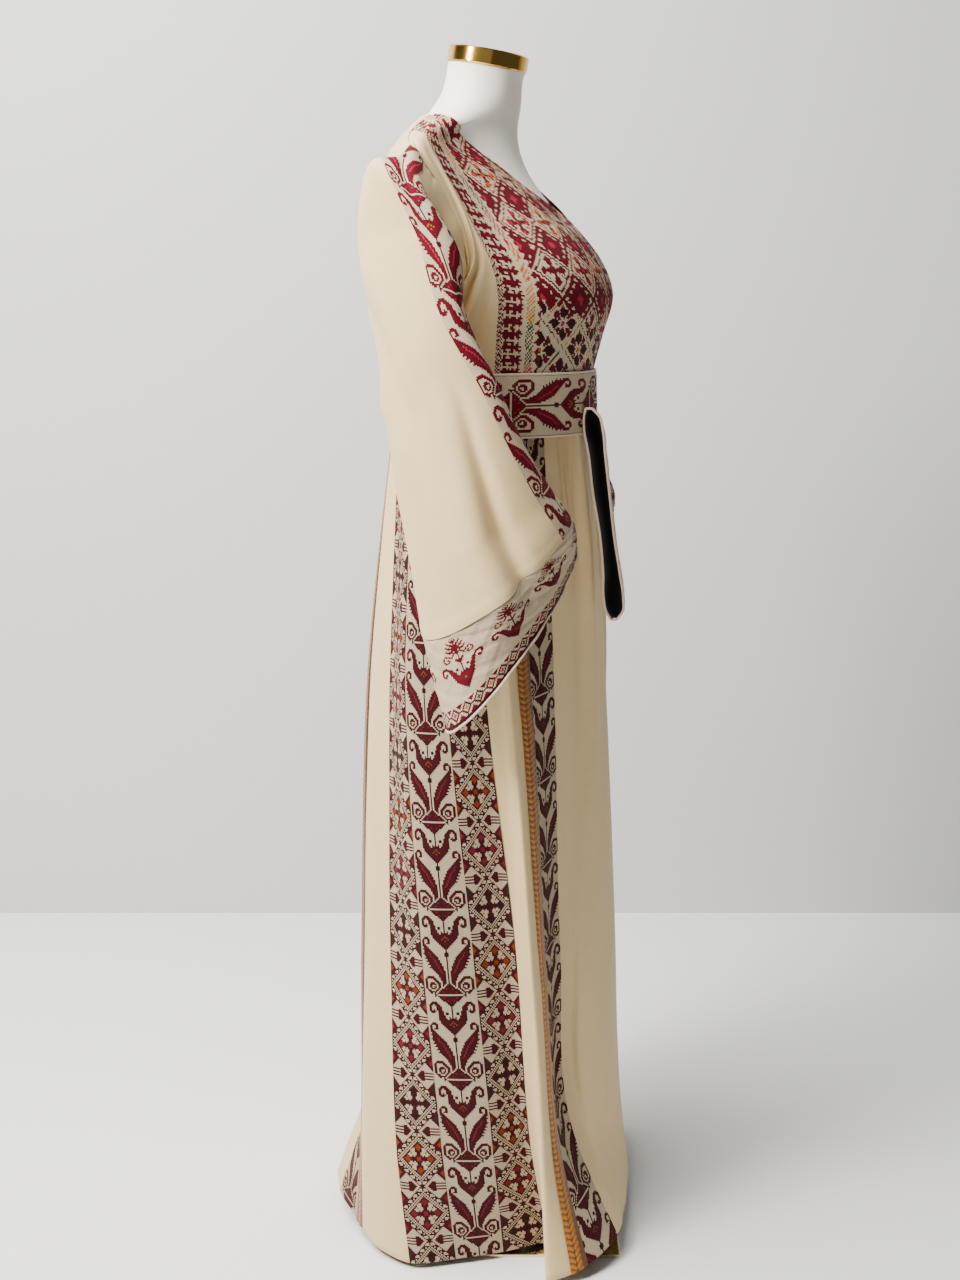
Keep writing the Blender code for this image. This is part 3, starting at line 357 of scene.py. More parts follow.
def mirrored(points):
    """The wearer's left piece from the right one, with its columns reversed so that it still faces out."""
    return points[:, ::-1] * (-1.0, 1.0, 1.0)


# Noise and folds


def wave(x, seed):
    """A smooth uneven wave of about -1 to 1."""
    a, b, c = 1.0 + 0.37 * math.sin(seed * 1.7), 2.3 + 0.4 * math.sin(seed * 3.1), 4.1 + 0.6 * math.cos(seed * 2.3)
    return (np.sin(a * x + seed) + 0.5 * np.sin(b * x + 2.1 * seed) + 0.25 * np.sin(c * x + 0.7 * seed)) / 1.5


def trough(x, centre, width):
    """One soft crease: 1 at its centre, fading out over its width."""
    place = (x - centre) / width
    return np.exp(-place * place)


# Meshes


def srgb(red, green, blue):
    """A screen colour, 0 to 255, as linear values."""
    out = []
    for value in (red, green, blue):
        value /= 255.0
        out.append(value / 12.92 if value <= 0.04045 else ((value + 0.055) / 1.055) ** 2.4)
    return tuple(out)


def link_mesh(name, points, faces, material, smooth=True):
    mesh = bpy.data.meshes.new(name)
    mesh.from_pydata(points.tolist() if hasattr(points, "tolist") else points, [], faces)
    mesh.materials.append(material)
    if smooth:
        mesh.shade_smooth()
    mesh.update()
    made = bpy.data.objects.new(name, mesh)
    bpy.context.scene.collection.objects.link(made)
    return made


def grid_faces(rows, columns, closed=False):
    index = np.arange(rows * columns).reshape(rows, columns)
    if closed:
        index = np.concatenate([index, index[:, :1]], axis=1)
    a, b, c, d = index[:-1, :-1], index[:-1, 1:], index[1:, 1:], index[1:, :-1]
    return np.stack([a, d, c, b], axis=-1).reshape(-1, 4)


def grid_piece(name, points, material, closed=False, uv=None, colours=None):
    """A sheet over a grid of points (rows, columns, 3). uv is in real lengths, and colours are one to a cell."""
    rows, columns = points.shape[:2]
    faces = grid_faces(rows, columns, closed)
    made = link_mesh(name, points.reshape(-1, 3), faces.tolist(), material)
    mesh = made.data
    if uv is None:
        across = np.linalg.norm(np.diff(points, axis=1), axis=2).mean(axis=0)
        along = np.linalg.norm(np.diff(points, axis=0), axis=2).mean(axis=1)
        u = np.concatenate([[0.0], np.cumsum(across)])
        v = np.concatenate([[0.0], np.cumsum(along)])
        if closed:
            u = np.append(u, u[-1] + u[1])
    else:
        u, v = uv
    cells = columns if closed else columns - 1
    if u.ndim == 1:
        u, v = np.meshgrid(u, v)
    row, column = np.divmod(np.arange((rows - 1) * cells), cells)
    corners_of = ((row, column), (row + 1, column), (row + 1, column + 1), (row, column + 1))
    corner_u = np.stack([u[corner] for corner in corners_of], axis=1)
    corner_v = np.stack([v[corner] for corner in corners_of], axis=1)
    layer = mesh.uv_layers.new(name="cloth")
    layer.data.foreach_set("uv", np.stack([corner_u, corner_v], axis=2).ravel())
    if colours is not None:
        attribute = mesh.color_attributes.new("thread", "FLOAT_COLOR", "CORNER")
        values = np.concatenate([colours.reshape(-1, 3), np.ones((colours.shape[0] * colours.shape[1], 1))], axis=1)
        attribute.data.foreach_set("color", np.repeat(values, 4, axis=0).ravel())
    return made


# Materials


def nodes_of(material):
    return material.node_tree.nodes, material.node_tree.links


def new_material(name, colour, roughness, **sockets):
    made = bpy.data.materials.new(name)
    made.use_nodes = True
    shader = made.node_tree.nodes["Principled BSDF"]
    shader.inputs["Base Color"].default_value = (*colour, 1.0)
    shader.inputs["Roughness"].default_value = roughness
    for socket, value in sockets.items():
        shader.inputs[socket.replace("_", " ")].default_value = value
    return made


def add_bump(material, height_socket, strength, distance):
    nodes, links = nodes_of(material)
    bump = nodes.new("ShaderNodeBump")
    bump.inputs["Strength"].default_value = strength
    bump.inputs["Distance"].default_value = distance
    links.new(height_socket, bump.inputs["Height"])
    links.new(bump.outputs["Normal"], nodes["Principled BSDF"].inputs["Normal"])


def maths(material, kind, first, second=None):
    nodes, links = nodes_of(material)
    node = nodes.new("ShaderNodeMath")
    node.operation = kind
    for socket, value in zip(node.inputs, (first, second)):
        if value is None:
            continue
        if isinstance(value, (int, float)):
            socket.default_value = value
        else:
            links.new(value, socket)
    return node.outputs[0]


def uv_parts(material):
    """The two coordinates of the cloth's own layout, as sockets."""
    nodes, links = nodes_of(material)
    uv = nodes.new("ShaderNodeUVMap")
    uv.uv_map = "cloth"
    split = nodes.new("ShaderNodeSeparateXYZ")
    links.new(uv.outputs[0], split.inputs[0])
    return split.outputs[0], split.outputs[1]


def mottle(material, base, scale, amount):
    """Varies the base colour a little with a soft noise."""
    nodes, links = nodes_of(material)
    coords = nodes.new("ShaderNodeTexCoord")
    noise = nodes.new("ShaderNodeTexNoise")
    noise.inputs["Scale"].default_value = scale
    noise.inputs["Detail"].default_value = 3.0
    links.new(coords.outputs["Object"], noise.inputs["Vector"])
    mix = nodes.new("ShaderNodeMix")
    mix.data_type = "RGBA"
    mix.blend_type = "MULTIPLY"
    mix.inputs[0].default_value = amount
    ramp = nodes.new("ShaderNodeValToRGB")
    ramp.color_ramp.elements[0].position = 0.3
    ramp.color_ramp.elements[0].color = (0.55, 0.55, 0.55, 1.0)
    ramp.color_ramp.elements[1].position = 0.7
    links.new(noise.outputs[0], ramp.inputs[0])
    if isinstance(base, tuple):
        mix.inputs[6].default_value = (*base, 1.0)
    else:
        links.new(base, mix.inputs[6])
    links.new(ramp.outputs[0], mix.inputs[7])
    links.new(mix.outputs[2], nodes["Principled BSDF"].inputs["Base Color"])
    return noise.outputs[0]


def cloth_material(name, colour, thread=0.0006, roughness=0.62):
    """Smooth woven cloth: fine crossing threads and a faint unevenness."""
    made = new_material(name, colour, roughness, Sheen_Weight=0.10, Sheen_Roughness=0.4)
    mottle(made, tuple(colour), 60.0, 0.10)
    u, v = uv_parts(made)
    warp = maths(made, "SINE", maths(made, "MULTIPLY", u, 2 * math.pi / thread))
    weft = maths(made, "SINE", maths(made, "MULTIPLY", v, 2 * math.pi / thread))
    add_bump(made, maths(made, "MULTIPLY", warp, weft), 0.10, 0.0002)
    return made


def stitched_material(name):
    """Cross-stitch: thread colours from the cells, and a crossed rise over each cell."""
    made = new_material(name, (1, 1, 1), 0.75, Sheen_Weight=0.02, Specular_IOR_Level=0.15)
    nodes, _ = nodes_of(made)
    thread = nodes.new("ShaderNodeAttribute")
    thread.attribute_name = "thread"
    mottle(made, thread.outputs["Color"], 300.0, 0.22)
    u, v = uv_parts(made)
    strands = [maths(made, "ABSOLUTE", maths(made, "SINE", maths(made, "MULTIPLY", maths(made, kind, u, v), math.pi)))
               for kind in ("ADD", "SUBTRACT")]
    add_bump(made, maths(made, "MINIMUM", *strands), 0.35, 0.0004)
    return made


def velvet_material(name, colour):
    made = new_material(name, colour, 0.95, Sheen_Weight=0.15, Specular_IOR_Level=0.1)
    noise = mottle(made, tuple(colour), 900.0, 0.3)
    add_bump(made, noise, 0.4, 0.0003)
    return made


def cord_material(name, colour):
    made = new_material(name, colour, 0.5, Sheen_Weight=0.2)
    noise = mottle(made, tuple(colour), 400.0, 0.15)
    add_bump(made, noise, 0.15, 0.0002)
    return made


def braid_material(name, colour):
    made = new_material(name, colour, 0.38, Metallic=0.35, Sheen_Weight=0.3)
    # Its colour comes from each piece's cells: gold with painted shade between the strands.
    thread = made.node_tree.nodes.new("ShaderNodeAttribute")
    thread.attribute_name = "thread"
    noise = mottle(made, thread.outputs["Color"], 700.0, 0.3)
    add_bump(made, noise, 0.5, 0.0003)
    return made


def brass_material(name, colour, roughness):
    made = new_material(name, colour, roughness, Metallic=1.0)
    nodes, links = nodes_of(made)
    noise = mottle(made, tuple(colour), 25.0, 0.08)
    low = maths(made, "MULTIPLY", noise, 0.12)
    links.new(maths(made, "ADD", low, roughness - 0.05), nodes["Principled BSDF"].inputs["Roughness"])
    return made


def form_material(name, colour):
    made = new_material(name, colour, 0.48)
    noise = mottle(made, tuple(colour), 12.0, 0.05)
    add_bump(made, noise, 0.03, 0.001)
    return made


# Charts. Each letter is one cross-stitch, and a dot is the ground.

THREADS = (
    (".", "ground"), ("r", "crimson"), ("m", "maroon"), ("c", "pale"), ("b", "brown"), ("o", "orange"),
    ("k", "dark"), ("g", "green"), ("p", "rose"), ("y", "gold"),
)
LETTERS = "".join(letter for letter, _ in THREADS)


def chart(rows, mirror=True):
    """A chart as numbers, from its top row down. mirror adds the other half about the last column."""
    grid = np.array([[LETTERS.index(letter) for letter in row] for row in rows])
    return np.concatenate([grid, grid[:, -2::-1]], axis=1) if mirror else grid


def settings():
    return bpy.context.scene.thobe_sizes, bpy.context.scene.thobe_colours


class ThobeSizes(bpy.types.PropertyGroup):
    stitch: FloatProperty(name="Stitch", description="Side of one cross-stitch", default=0.00205, min=0.0018,
                          max=0.005, unit="LENGTH", subtype="DISTANCE")
    relief: FloatProperty(name="Stitch relief", description="How far stitches stand off the cloth", default=0.0004,
                          min=0.0, max=0.002, unit="LENGTH", subtype="DISTANCE")
    crease: FloatProperty(name="Crease depth", description="Depth of the soft creases in the cloth", default=0.0040,
                          min=0.0, max=0.02, unit="LENGTH", subtype="DISTANCE")


def colour_property(name, description, value):
    return FloatVectorProperty(name=name, description=description, default=srgb(*value), size=3, min=0.0, max=1.0,
                               subtype="COLOR")


class ThobeColours(bpy.types.PropertyGroup):
    cloth: colour_property("Cloth", "Cream cloth of the robe", (221, 192, 141))
    ground: colour_property("Ground", "Cloth under the stitches", (194, 174, 144))
    crimson: colour_property("Crimson", "Main thread", (92, 1, 20))
    maroon: colour_property("Maroon", "Darker red thread", (52, 2, 16))
    brown: colour_property("Brown", "Brown accent thread", (58, 24, 14))
    orange: colour_property("Orange", "Orange accent thread", (186, 78, 26))
    rose: colour_property("Rose", "Rose accent thread", (164, 34, 52))
    green: colour_property("Green", "Green accent thread", (38, 62, 30))
    gold: colour_property("Gold", "Gold braid and accent thread", (184, 112, 8))
    piping: colour_property("Piping", "Cord round the edges", (226, 196, 170))
    velvet: colour_property("Velvet", "Lining of the belt", (14, 13, 15))
    form: colour_property("Form", "Dress form", (252, 244, 228))


def thread_colours():
    """Linear colours in the order of THREADS."""
    _, colours = settings()
    ground = np.array(colours.ground)
    mixed = {"pale": ground * 1.02, "dark": srgb(58, 20, 28)}
    return np.array([tuple(mixed[name] if name in mixed else getattr(colours, name)) for _, name in THREADS])


# Tone of the ground and of the thread. The skirt's strips are darkened partly for their denser stitching and partly as
# painted shade, for the shade that the lower robe stands in.
EVEN_TONES = (1.0, 1.0)
SKIRT_PAINTED_SHADE_TONES = (0.80, 0.38)


def stitched_sheet(name, points, cells, closed=False, uv=None, tones=EVEN_TONES):
    """An embroidered sheet: points (rows+1, columns+1, 3), cells (rows, columns) as thread numbers, bottom row first.

    Cells with thread stand off the ground by the relief, and unevenness varies each stitch's tone a little.
    """
    sizes, _ = settings()
    stitched = (cells > 0).astype(float)
    if closed:
        ring = np.concatenate([stitched[:, -1:], stitched], axis=1)
    else:
        ring = np.pad(stitched, ((0, 0), (1, 1)), mode="edge")
    padded = np.pad(ring, ((1, 1), (0, 0)), mode="edge")
    lift = (padded[:-1, :-1] + padded[1:, :-1] + padded[:-1, 1:] + padded[1:, 1:]) / 4
    raised = points + normals(points, closed) * (lift * sizes.relief)[..., None]
    rng = np.random.default_rng(len(name) * 7 + cells.size)
    tone = 1.0 + 0.10 * (rng.random(cells.shape) - 0.5) * (1 + stitched)
    light_cells = np.isin(cells, (0, LETTERS.index("c")))
    # tones darken the ground and the thread; on the skirt's strips this is partly painted shade.
    colours = thread_colours()[cells] * (tone * np.where(light_cells, tones[0], tones[1]))[..., None]
    rows, columns = points.shape[:2]
    if uv is None:
        uv = (np.arange(columns + 1, dtype=float), np.arange(rows, dtype=float))
    return grid_piece(name, raised, shared_material("stitched"), closed, uv, colours)


made_materials = {}


def shared_material(kind):
    """Each material is made once, when the first piece asks for it."""
    if kind not in made_materials:
        _, colours = settings()
        makers = {
            "cloth": lambda: cloth_material("cream cloth", colours.cloth),
            "stitched": lambda: stitched_material("cross-stitch"),
            "piping": lambda: cord_material("piping cord", colours.piping),
            "velvet": lambda: velvet_material("black velvet", colours.velvet),
            "braid": lambda: braid_material("gold braid", colours.gold),
            "brass": lambda: brass_material("polished brass", srgb(228, 182, 92), 0.14),
            "mirror": lambda: brass_material("mirror brass plate", srgb(232, 214, 176), 0.10),
            "form": lambda: form_material("ivory form", colours.form),
        }
        made_materials[kind] = makers[kind]()
    return made_materials[kind]


def finish_piece(piece, slot, *nodes):
    """Ties a piece to the part: the body it rides on, and the CAD nodes it stands for, which it hides. slot is not
    used.
    """
    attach(piece, "root")
    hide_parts(*nodes)


def hem_turn(points, depth=0.012, thickness=0.0016):
    """Adds the turned-in hem below the first row: a rounded edge and a short inner layer."""
    facing = normals(points)[0]
    rise = points[1] - points[0]
    rise = rise / np.linalg.norm(rise, axis=1)[:, None]
    edge = points[0] - facing * thickness * 0.5 - rise * thickness * 0.4
    inner = points[0] - facing * thickness
    top = points[0] - facing * thickness + rise * depth
    return np.concatenate([[top], [inner], [edge], points])


# Skirt


def skirt_grid(first, last, columns, rows, side=1):
    """A grid between two lines of the skirt, with its shares of the height. side is 1 on the wearer's right or -1."""
    places = np.linspace(first, last, columns)
    shares = np.linspace(0.0, 1.0, rows)
    if side < 0:
        places = -places[::-1]
    return on_rings(skirt_rings(shares), places[None, :]), shares


def line(name):
    """The place of a named seam or fold round the skirt."""
    return float(SKIRT_NAMES.index(name))


SKIRT_LENGTH = 1.15


def strip_cells(unit, rows, columns, shift=0):
    """Repeats a chart unit up a strip, counted from the hem, and centres it across."""
    tall, wide = unit.shape
    up = (np.arange(rows) + shift) % tall
    across = np.arange(columns) - (columns - wide) // 2
    cells = unit[::-1][up][:, np.clip(across, 0, wide - 1)]
    cells[:, (across < 0) | (across >= wide)] = 0
    return cells


def build_strip(name, first, last, unit, columns, side, shift, node):
    """An embroidered strip of the skirt, with the chart unit repeated up it."""
    sizes, _ = settings()
    rows = int(round(SKIRT_LENGTH / sizes.stitch))
    points, _ = skirt_grid(line(first), line(last), columns + 1, rows + 1, side)
    cells = strip_cells(unit, rows, columns, shift)
    if side < 0:
        cells = cells[:, ::-1]
    # Painted shade: the strip's ground and thread are darkened for the shade on the lower robe, as well as for its
    # denser stitching.
    piece = stitched_sheet(name, points, cells, tones=SKIRT_PAINTED_SHADE_TONES)
    finish_piece(piece, "embroidered_cloth", node)


# Floral repeat: curled leaf ends beside a split medallion, a vase of two horns, and a pair of leaves with a vein.
# Half of it, from its top down; the last column is the stem.
FLORAL_HALF = (
    "..rrrrr...rrrrr.k",
    ".rrrrrrr...rrrr.k",
    "rr....rrr..rrrr.k",
    "rr.....rrr..rrr.k",
    "rr..rrr.rrr.rrr.m",
    "rr.rrrrr.rr.rr.rr",
    "rr.rr..r.rr.r.mrr",
    "rr.rr.rr.rr..mrrr",
    "rr..rrr.rr.mrrprr",
    ".rrr...rr.mrrrrrr",
    "..rrrrrr.mrrprrrr",
    "...rr.m.mrrrrrrrr",
    "......mmccccccccc",
    "......m.mrrrrrrrr",
    ".........mrrprrrr",
    "..........mrrrrrr",
    "...........mrrprr",
    "...rrrr......mrrr",
    "..rrrrrr......mrr",
    ".rrr.rrrr......mr",
    ".rr...rrrr......m",
    ".rr...rrrr......k",
    ".rr.r.rrrr......k",
    ".rrrrr.rrrr.....k",
    "..rrr..rrrr.kk..k",
    ".......rrrr.kk..k",
    ".......rrrrr....k",
    ".......rrrrr..r.k",
    ".......rrrrrr.rrk",
    ".......rrrrrrrrrm",
    "........rrrrrrrbo",
    "..rrr...rrrrrrbor",
    ".rrrrr...rrrrrobr",
    "rr..rr....rrrrrbo",
    "rr..rr.....rrrrrr",
    "rr.rrr......rrrrr",
    "rrr..........rrrr",
    "rrrr..........rrr",
    ".rrrr..........rr",
    "rrrrrr..........r",
    ".rrrrrr.........k",
    ".rrrprrr.......rm",
    "rrrrrprrr......mm",
    ".rrrrprrrr.....rm",
    "..rrrrprrrr.....k",
    ".rrrrrrprrr.....k",
    "...rrrrrprrr....k",
    "..rrrrrrprrr....k",
    "....rrrrrprrr...k",
    "...rrrrrrprrr...k",
    ".....rrrrrprrr..k",
    "....rrrrrrprrr..k",
    "......rrrrrprr..k",
    ".......rrrrprrr.k",
    "........rrrrprr.k",
    ".........rrrrrr.k",
    "..........rrrrr.k",
)

# Horned vase of the cuffs with a sprig above it. Half of it, from its top down.
VASE_HALF = (
    "................r.",
    "...............r.r",
    "............r..rrr",
    "............rr..rr",
    ".............rrr.r",
    "..........rr..rrrr",
    "...........rrr.rrr",
    "............rrrrrr",
    ".........rr...rrrr",
    "..........rrrrrrrm",
    "...........rrrr.rr",
    ".......rr.....rrrr",
    "......r.rrr..rr.rr",
    ".....rr...rrrr...r",
    ".....r..rr..r....r",
    ".....rr..rr......r",
    "......rrrr....rr.r",
    "..............rrrm",
    "...............rrr",
    ".rrrrr..........rm",
    "rrrrrrr..........m",
    "rr...rrrr........m",
    "rr....rrrr.......m",
    "rr.rr.rrrr..kk...m",
    ".rrrr..rrrr.kk...m",
    "..rr...rrrrr.....m",
    "........rrrr...r.m",
    "........rrrrr.rrrm",
    ".........rrrrrrrrr",
    ".........rrrrrrrrr",
    "..........rrrrrrrb",
    "..........rrrrrrbo",
    "...........rrrrrrb",
    "............rrrrrr",
    ".............rrrrr",
    "..............rrrr",
    "...............rrr",
    "................rr",
    ".................r",
)

# Quarter of the figure inside each diamond: columns out from its centre, rows away from its centre.
DIAMOND_QUARTER = (
    "aarrrraaaaarr",
    "aarrrrraaarrr",
    "rrrcrccrarrr.",
    "rrccccccrrr..",
    "rrcccrcrrr...",
    "rrrcccrrr....",
    "arrcccrr.....",
    "aarccrr......",
    "aaarrr.......",
    "aarrr........",
    "arrr.........",
    "rrr..........",
    "rr...........",
)

# Outer border of the chest panel, from its edge inwards: checks and combs.
COMB_BAND = (
    "r.r..............",
    ".r.r.rrr.rrr..r..",
    "r.r..rr...rr.rrr.",
    ".r.rrrrrrrrrrrr..",
    "r.r.rrrrrrrrrrrrr",
    ".r.rrrrrrrrrrrr..",
    "r.r..rr...rr.rrr.",
    ".r.r.rrr.rrr..r..",
)
RIBBON_THREADS = "pgyo"
RIBBON_WIDTH = 5
RIBBON_STRETCH = 26
DIAMOND_ACCENTS = "opb"
LINES = {"b": "b", "o": "y", "p": "p", "r": "c"}
CORNERS = {"b": "g", "o": "o", "p": "p", "r": "o"}
DIAMOND_HALF_WIDTH = 16
DIAMOND_HALF_HEIGHT = 19


def diamond_letter(column, row, accent):
    """The thread at a place in one diamond's repeat, with the half flowers at its sides."""
    up, out = abs(row - DIAMOND_HALF_HEIGHT), abs(column - DIAMOND_HALF_WIDTH)
    ring = up + out
    if ring <= 12:
        letter = DIAMOND_QUARTER[up][out]
        return accent if letter == "a" else letter
    if ring in (13, 15):
        return "c"
    if ring == 14:
        return LINES[accent] if up % 2 else "m"
    if ring == 16:
        return "m"
    if ring == 17:
        return "m" if up % 2 else "c"
    return corner_letter(DIAMOND_HALF_WIDTH - out, DIAMOND_HALF_HEIGHT - up, accent)


def diamond_unit(accent):
    """One diamond's repeat as a chart of thread numbers."""
    wide, tall = 2 * DIAMOND_HALF_WIDTH + 1, 2 * DIAMOND_HALF_HEIGHT
    letters = [[diamond_letter(column, row, accent) for column in range(wide)] for row in range(tall)]
    return np.array([[LETTERS.index(letter) for letter in row] for row in letters])


def corner_letter(edge, away, accent):
    """The space between diamonds: cells from the strip's edge and from the level where two diamonds meet."""
    span = edge + away
    if span >= 16:
        return "c" if (away // 2) % 2 else "r"
    if span == 15:
        return "r"
    if away <= 3 and edge >= 7:
        return "r" if edge <= 12 - away else "c"
    if away <= 3:
        return "c" if away % 2 else "r"
    if edge <= 2 - abs(away - 9):
        return CORNERS[accent]
    if edge <= 5 - abs(away - 9):
        return "r"
    return "."


def diamond_chart():
    return np.concatenate([diamond_unit(accent) for accent in DIAMOND_ACCENTS])


def linked_diamonds(columns, period):
    """The cuffs' border, bottom row first: two dark rows, and linked small diamonds in changing colours."""
    tall, middle = 11, 6
    cells = np.zeros((tall, columns), int)
    cells[:2] = LETTERS.index("m")
    for column in range(columns):
        number, place = divmod(column, period)
        out = abs(place - period // 2)
        for row in range(2, tall):
            ring = out + abs(row - middle)
            if ring in (3, 4) or (ring == 5 and row == middle):
                cells[row, column] = LETTERS.index("m" if ring != 3 else "r")
            elif ring <= 1:
                cells[row, column] = LETTERS.index("gopy"[number % 4])
            elif ring >= 7:
                cells[row, column] = LETTERS.index("r")
    return cells


# Embroidered strips. Columns: name, first and last seam, chart, stitches across, rows the chart starts up.
STRIPS = (
    ("front_strip", "strip_inner", "strip_outer", "floral", 31, 11),
    ("side_diamond_front", "side_front", "seam_front", "diamond", 33, 4),
    ("side_floral", "seam_front", "seam_back", "floral", 35, 30),
    ("side_diamond_back", "seam_back", "side_back", "diamond", 33, 22),
    ("back_strip", "back_strip_outer", "back_strip_inner", "floral", 31, 40),
)


def build_skirt_panel(name, first, last, columns, rows, node, creases, side=1):
    """A plain cream panel with soft creases: creases gives a depth for each (across 0 to 1, up 0 to 1)."""
    sizes, _ = settings()
    points, shares = skirt_grid(first, last, columns, rows, side)
    across = np.linspace(0.0, 1.0, columns)[None, :]
    if side < 0:
        across = 1.0 - across
    depth = creases(across, shares[:, None]) * sizes.crease
    points = points + normals(points) * depth[..., None]
    turned = hem_turn(points)
    piece = grid_piece(name, turned, shared_material("cloth"))
    finish_piece(piece, "cream_cloth", node)


def front_creases(across, up):
    """The front panel: a long soft ridge on each side and small tucks under the belt."""
    depth = 0.0 * across * up
    for centre in (0.27, 0.73):
        drift = centre + 0.05 * wave(6 * up, 3.0 * centre)
        depth = depth + 1.7 * trough(across, drift, 0.06) * np.clip(up * 1.4, 0.2, 1.0)
        depth = depth - 1.4 * trough(across, drift + 0.09, 0.05) * np.clip(up * 1.4, 0.2, 1.0)
    under = np.clip((up - 0.78) / 0.16, 0.0, 1.0)
    for centre, width in ((0.12, 0.012), (0.17, 0.014), (0.22, 0.012), (0.78, 0.012), (0.83, 0.014), (0.88, 0.012)):
        depth = depth - 1.1 * trough(across, centre, width) * under
    return depth + 0.12 * wave(9 * across + 5 * up, 2.0)


def gore_creases(across, up):
    """A gore: a faint unevenness and a soft crown along its middle."""
    return 0.35 * wave(7 * up + 3 * across, 4.0) + 0.25 * trough(across, 0.5, 0.2)


def back_creases(across, up):
    """The back panel: two soft folds and small gathers under the belt."""
    depth = 0.0 * across * up
    for centre in (0.25, 0.75):
        drift = centre + 0.06 * wave(5 * up, 5.0 * centre)
        depth = depth + 0.8 * trough(across, drift, 0.10) - 0.6 * trough(across, drift + 0.16, 0.08)
    under = np.clip((up - 0.80) / 0.15, 0.0, 1.0)
    for centre in (0.2, 0.5, 0.8):
        depth = depth - 0.8 * trough(across, centre, 0.05) * under
    return depth


BRAID_STEP = 0.0078
BRAID_OVERLAP = 0.12
BRAID_GRID = (13, 900)
BRAID_UNDER_BELT = 0.012


def build_braid(name, first, last, node, side):
    """A flat plait laid over the seam: two rows of slanted strands that meet along the middle."""
    _, colours = settings()
    columns, rows = BRAID_GRID
    first, last = line(first) - BRAID_OVERLAP, line(last) + BRAID_OVERLAP
    points, shares = skirt_grid(first, last, columns, rows, side)
    keep = shares <= (BELT_BOTTOM - BRAID_UNDER_BELT) / WAIST_SEAM
    points, shares = points[keep], shares[keep]
    u = np.linspace(-1.0, 1.0, columns)[None, :]
    v = (shares * SKIRT_LENGTH)[:, None] / BRAID_STEP
    strand = np.abs(np.sin(math.pi * (v - 0.8 * np.abs(u))))
    crown = np.sqrt(np.clip(1.0 - np.abs(np.abs(u) * 2.0 - 1.0) ** 2.2, 0.0, 1.0))
    lift = 0.0009 + 0.0018 * crown * (0.35 + 0.65 * strand ** 0.7)
    # Painted shade: the gold is darkened in the grooves between the strands and towards the plait's two edges.
    painted_shade = 0.16 + 0.84 * np.clip(strand * (0.25 + crown), 0.0, 1.0) ** 1.2
    cells = np.array(colours.gold)[None, None] * painted_shade[:-1, :-1, None]
    piece = grid_piece(name, points + normals(points) * lift[..., None], shared_material("braid"), colours=cells)
    finish_piece(piece, "gold_braid", node)


def build_skirt():
    charts = {"floral": chart(FLORAL_HALF), "diamond": diamond_chart()}
    for suffix, side in (("_r", 1), ("_l", -1)):
        for name, first, last, kind, columns, shift in STRIPS:
            build_strip(name + "_cloth" + suffix, first, last, charts[kind], columns, side, shift, name + suffix)
        build_skirt_panel("front_gore_cloth" + suffix, line("strip_outer"), line("side_front"), 41, 150,
                          "front_gore" + suffix, gore_creases, side)
        build_skirt_panel("back_gore_cloth" + suffix, line("side_back"), line("back_strip_outer"), 33, 130,
                          "back_gore" + suffix, gore_creases, side)
        build_braid("front_braid_cord" + suffix, "strip_outer", "braid_edge", "front_braid" + suffix, side)
        build_braid("back_braid_cord" + suffix, "back_braid", "back_strip_outer", "back_braid" + suffix, side)
    build_skirt_panel("skirt_front_cloth", -line("strip_inner"), line("strip_inner"), 101, 150, "skirt_front",
                      front_creases)
    back = line("back_strip_inner")
    ring = 2 * (len(SKIRT_LINES) - 1)
    build_skirt_panel("skirt_back_cloth", back, ring - back, 61, 130, "skirt_back", back_creases)


# Bodice


def chest_edges():
    return dict(bottom=edge_curve(((0.0, WAIST_SEAM), (CHEST_EDGE[0][0], WAIST_SEAM))),
                top=edge_curve(NECKLINE, (SHOULDER_NECK, SHOULDER_MID)),
                start=edge_curve(((0.0, WAIST_SEAM), NECKLINE[0])), end=edge_curve(CHEST_EDGE))


def side_edges():
    return dict(bottom=edge_curve(((CHEST_EDGE[0][0], WAIST_SEAM), (SIDE_SEAM[0][0], WAIST_SEAM))),
                top=edge_curve((SHOULDER_MID, SHOULDER_TIP)), start=edge_curve(CHEST_EDGE),
                end=edge_curve(SIDE_SEAM, ARMHOLE_FRONT))


def back_edges():
    return dict(bottom=edge_curve(((4.0, WAIST_SEAM), (SIDE_SEAM[0][0], WAIST_SEAM))),
                top=edge_curve(BACK_NECK, (SHOULDER_NECK, SHOULDER_MID), (SHOULDER_MID, SHOULDER_TIP)),
                start=edge_curve(((4.0, WAIST_SEAM), BACK_NECK[0])), end=edge_curve(SIDE_SEAM, ARMHOLE_BACK))


def torso_patch(edges, columns, rows, both=False):
    """Points over a piece's region. both gives the piece on both sides of the middle."""
    across, up = np.linspace(0.0, 1.0, columns), np.linspace(0.0, 1.0, rows)
    places, heights = patch(across=across, up=up, **edges)
    if not both:
        return torso_points(places, heights)
    right = torso_points(places, heights)
    left = right[:, :0:-1] * (-1.0, 1.0, 1.0)
    return np.concatenate([left, right], axis=1)


# Layout of the chest panel in stitches: its half's columns and its rows, the period of the rosettes below, the row
# where the large diamonds start at the panel's middle, and the place of the slanting brown band.
CHEST_COLUMNS = 106
CHEST_ROWS = 190
CHEST_LOWER = 34
CHEST_CHANGE = 66
BAND_PLACE = 54


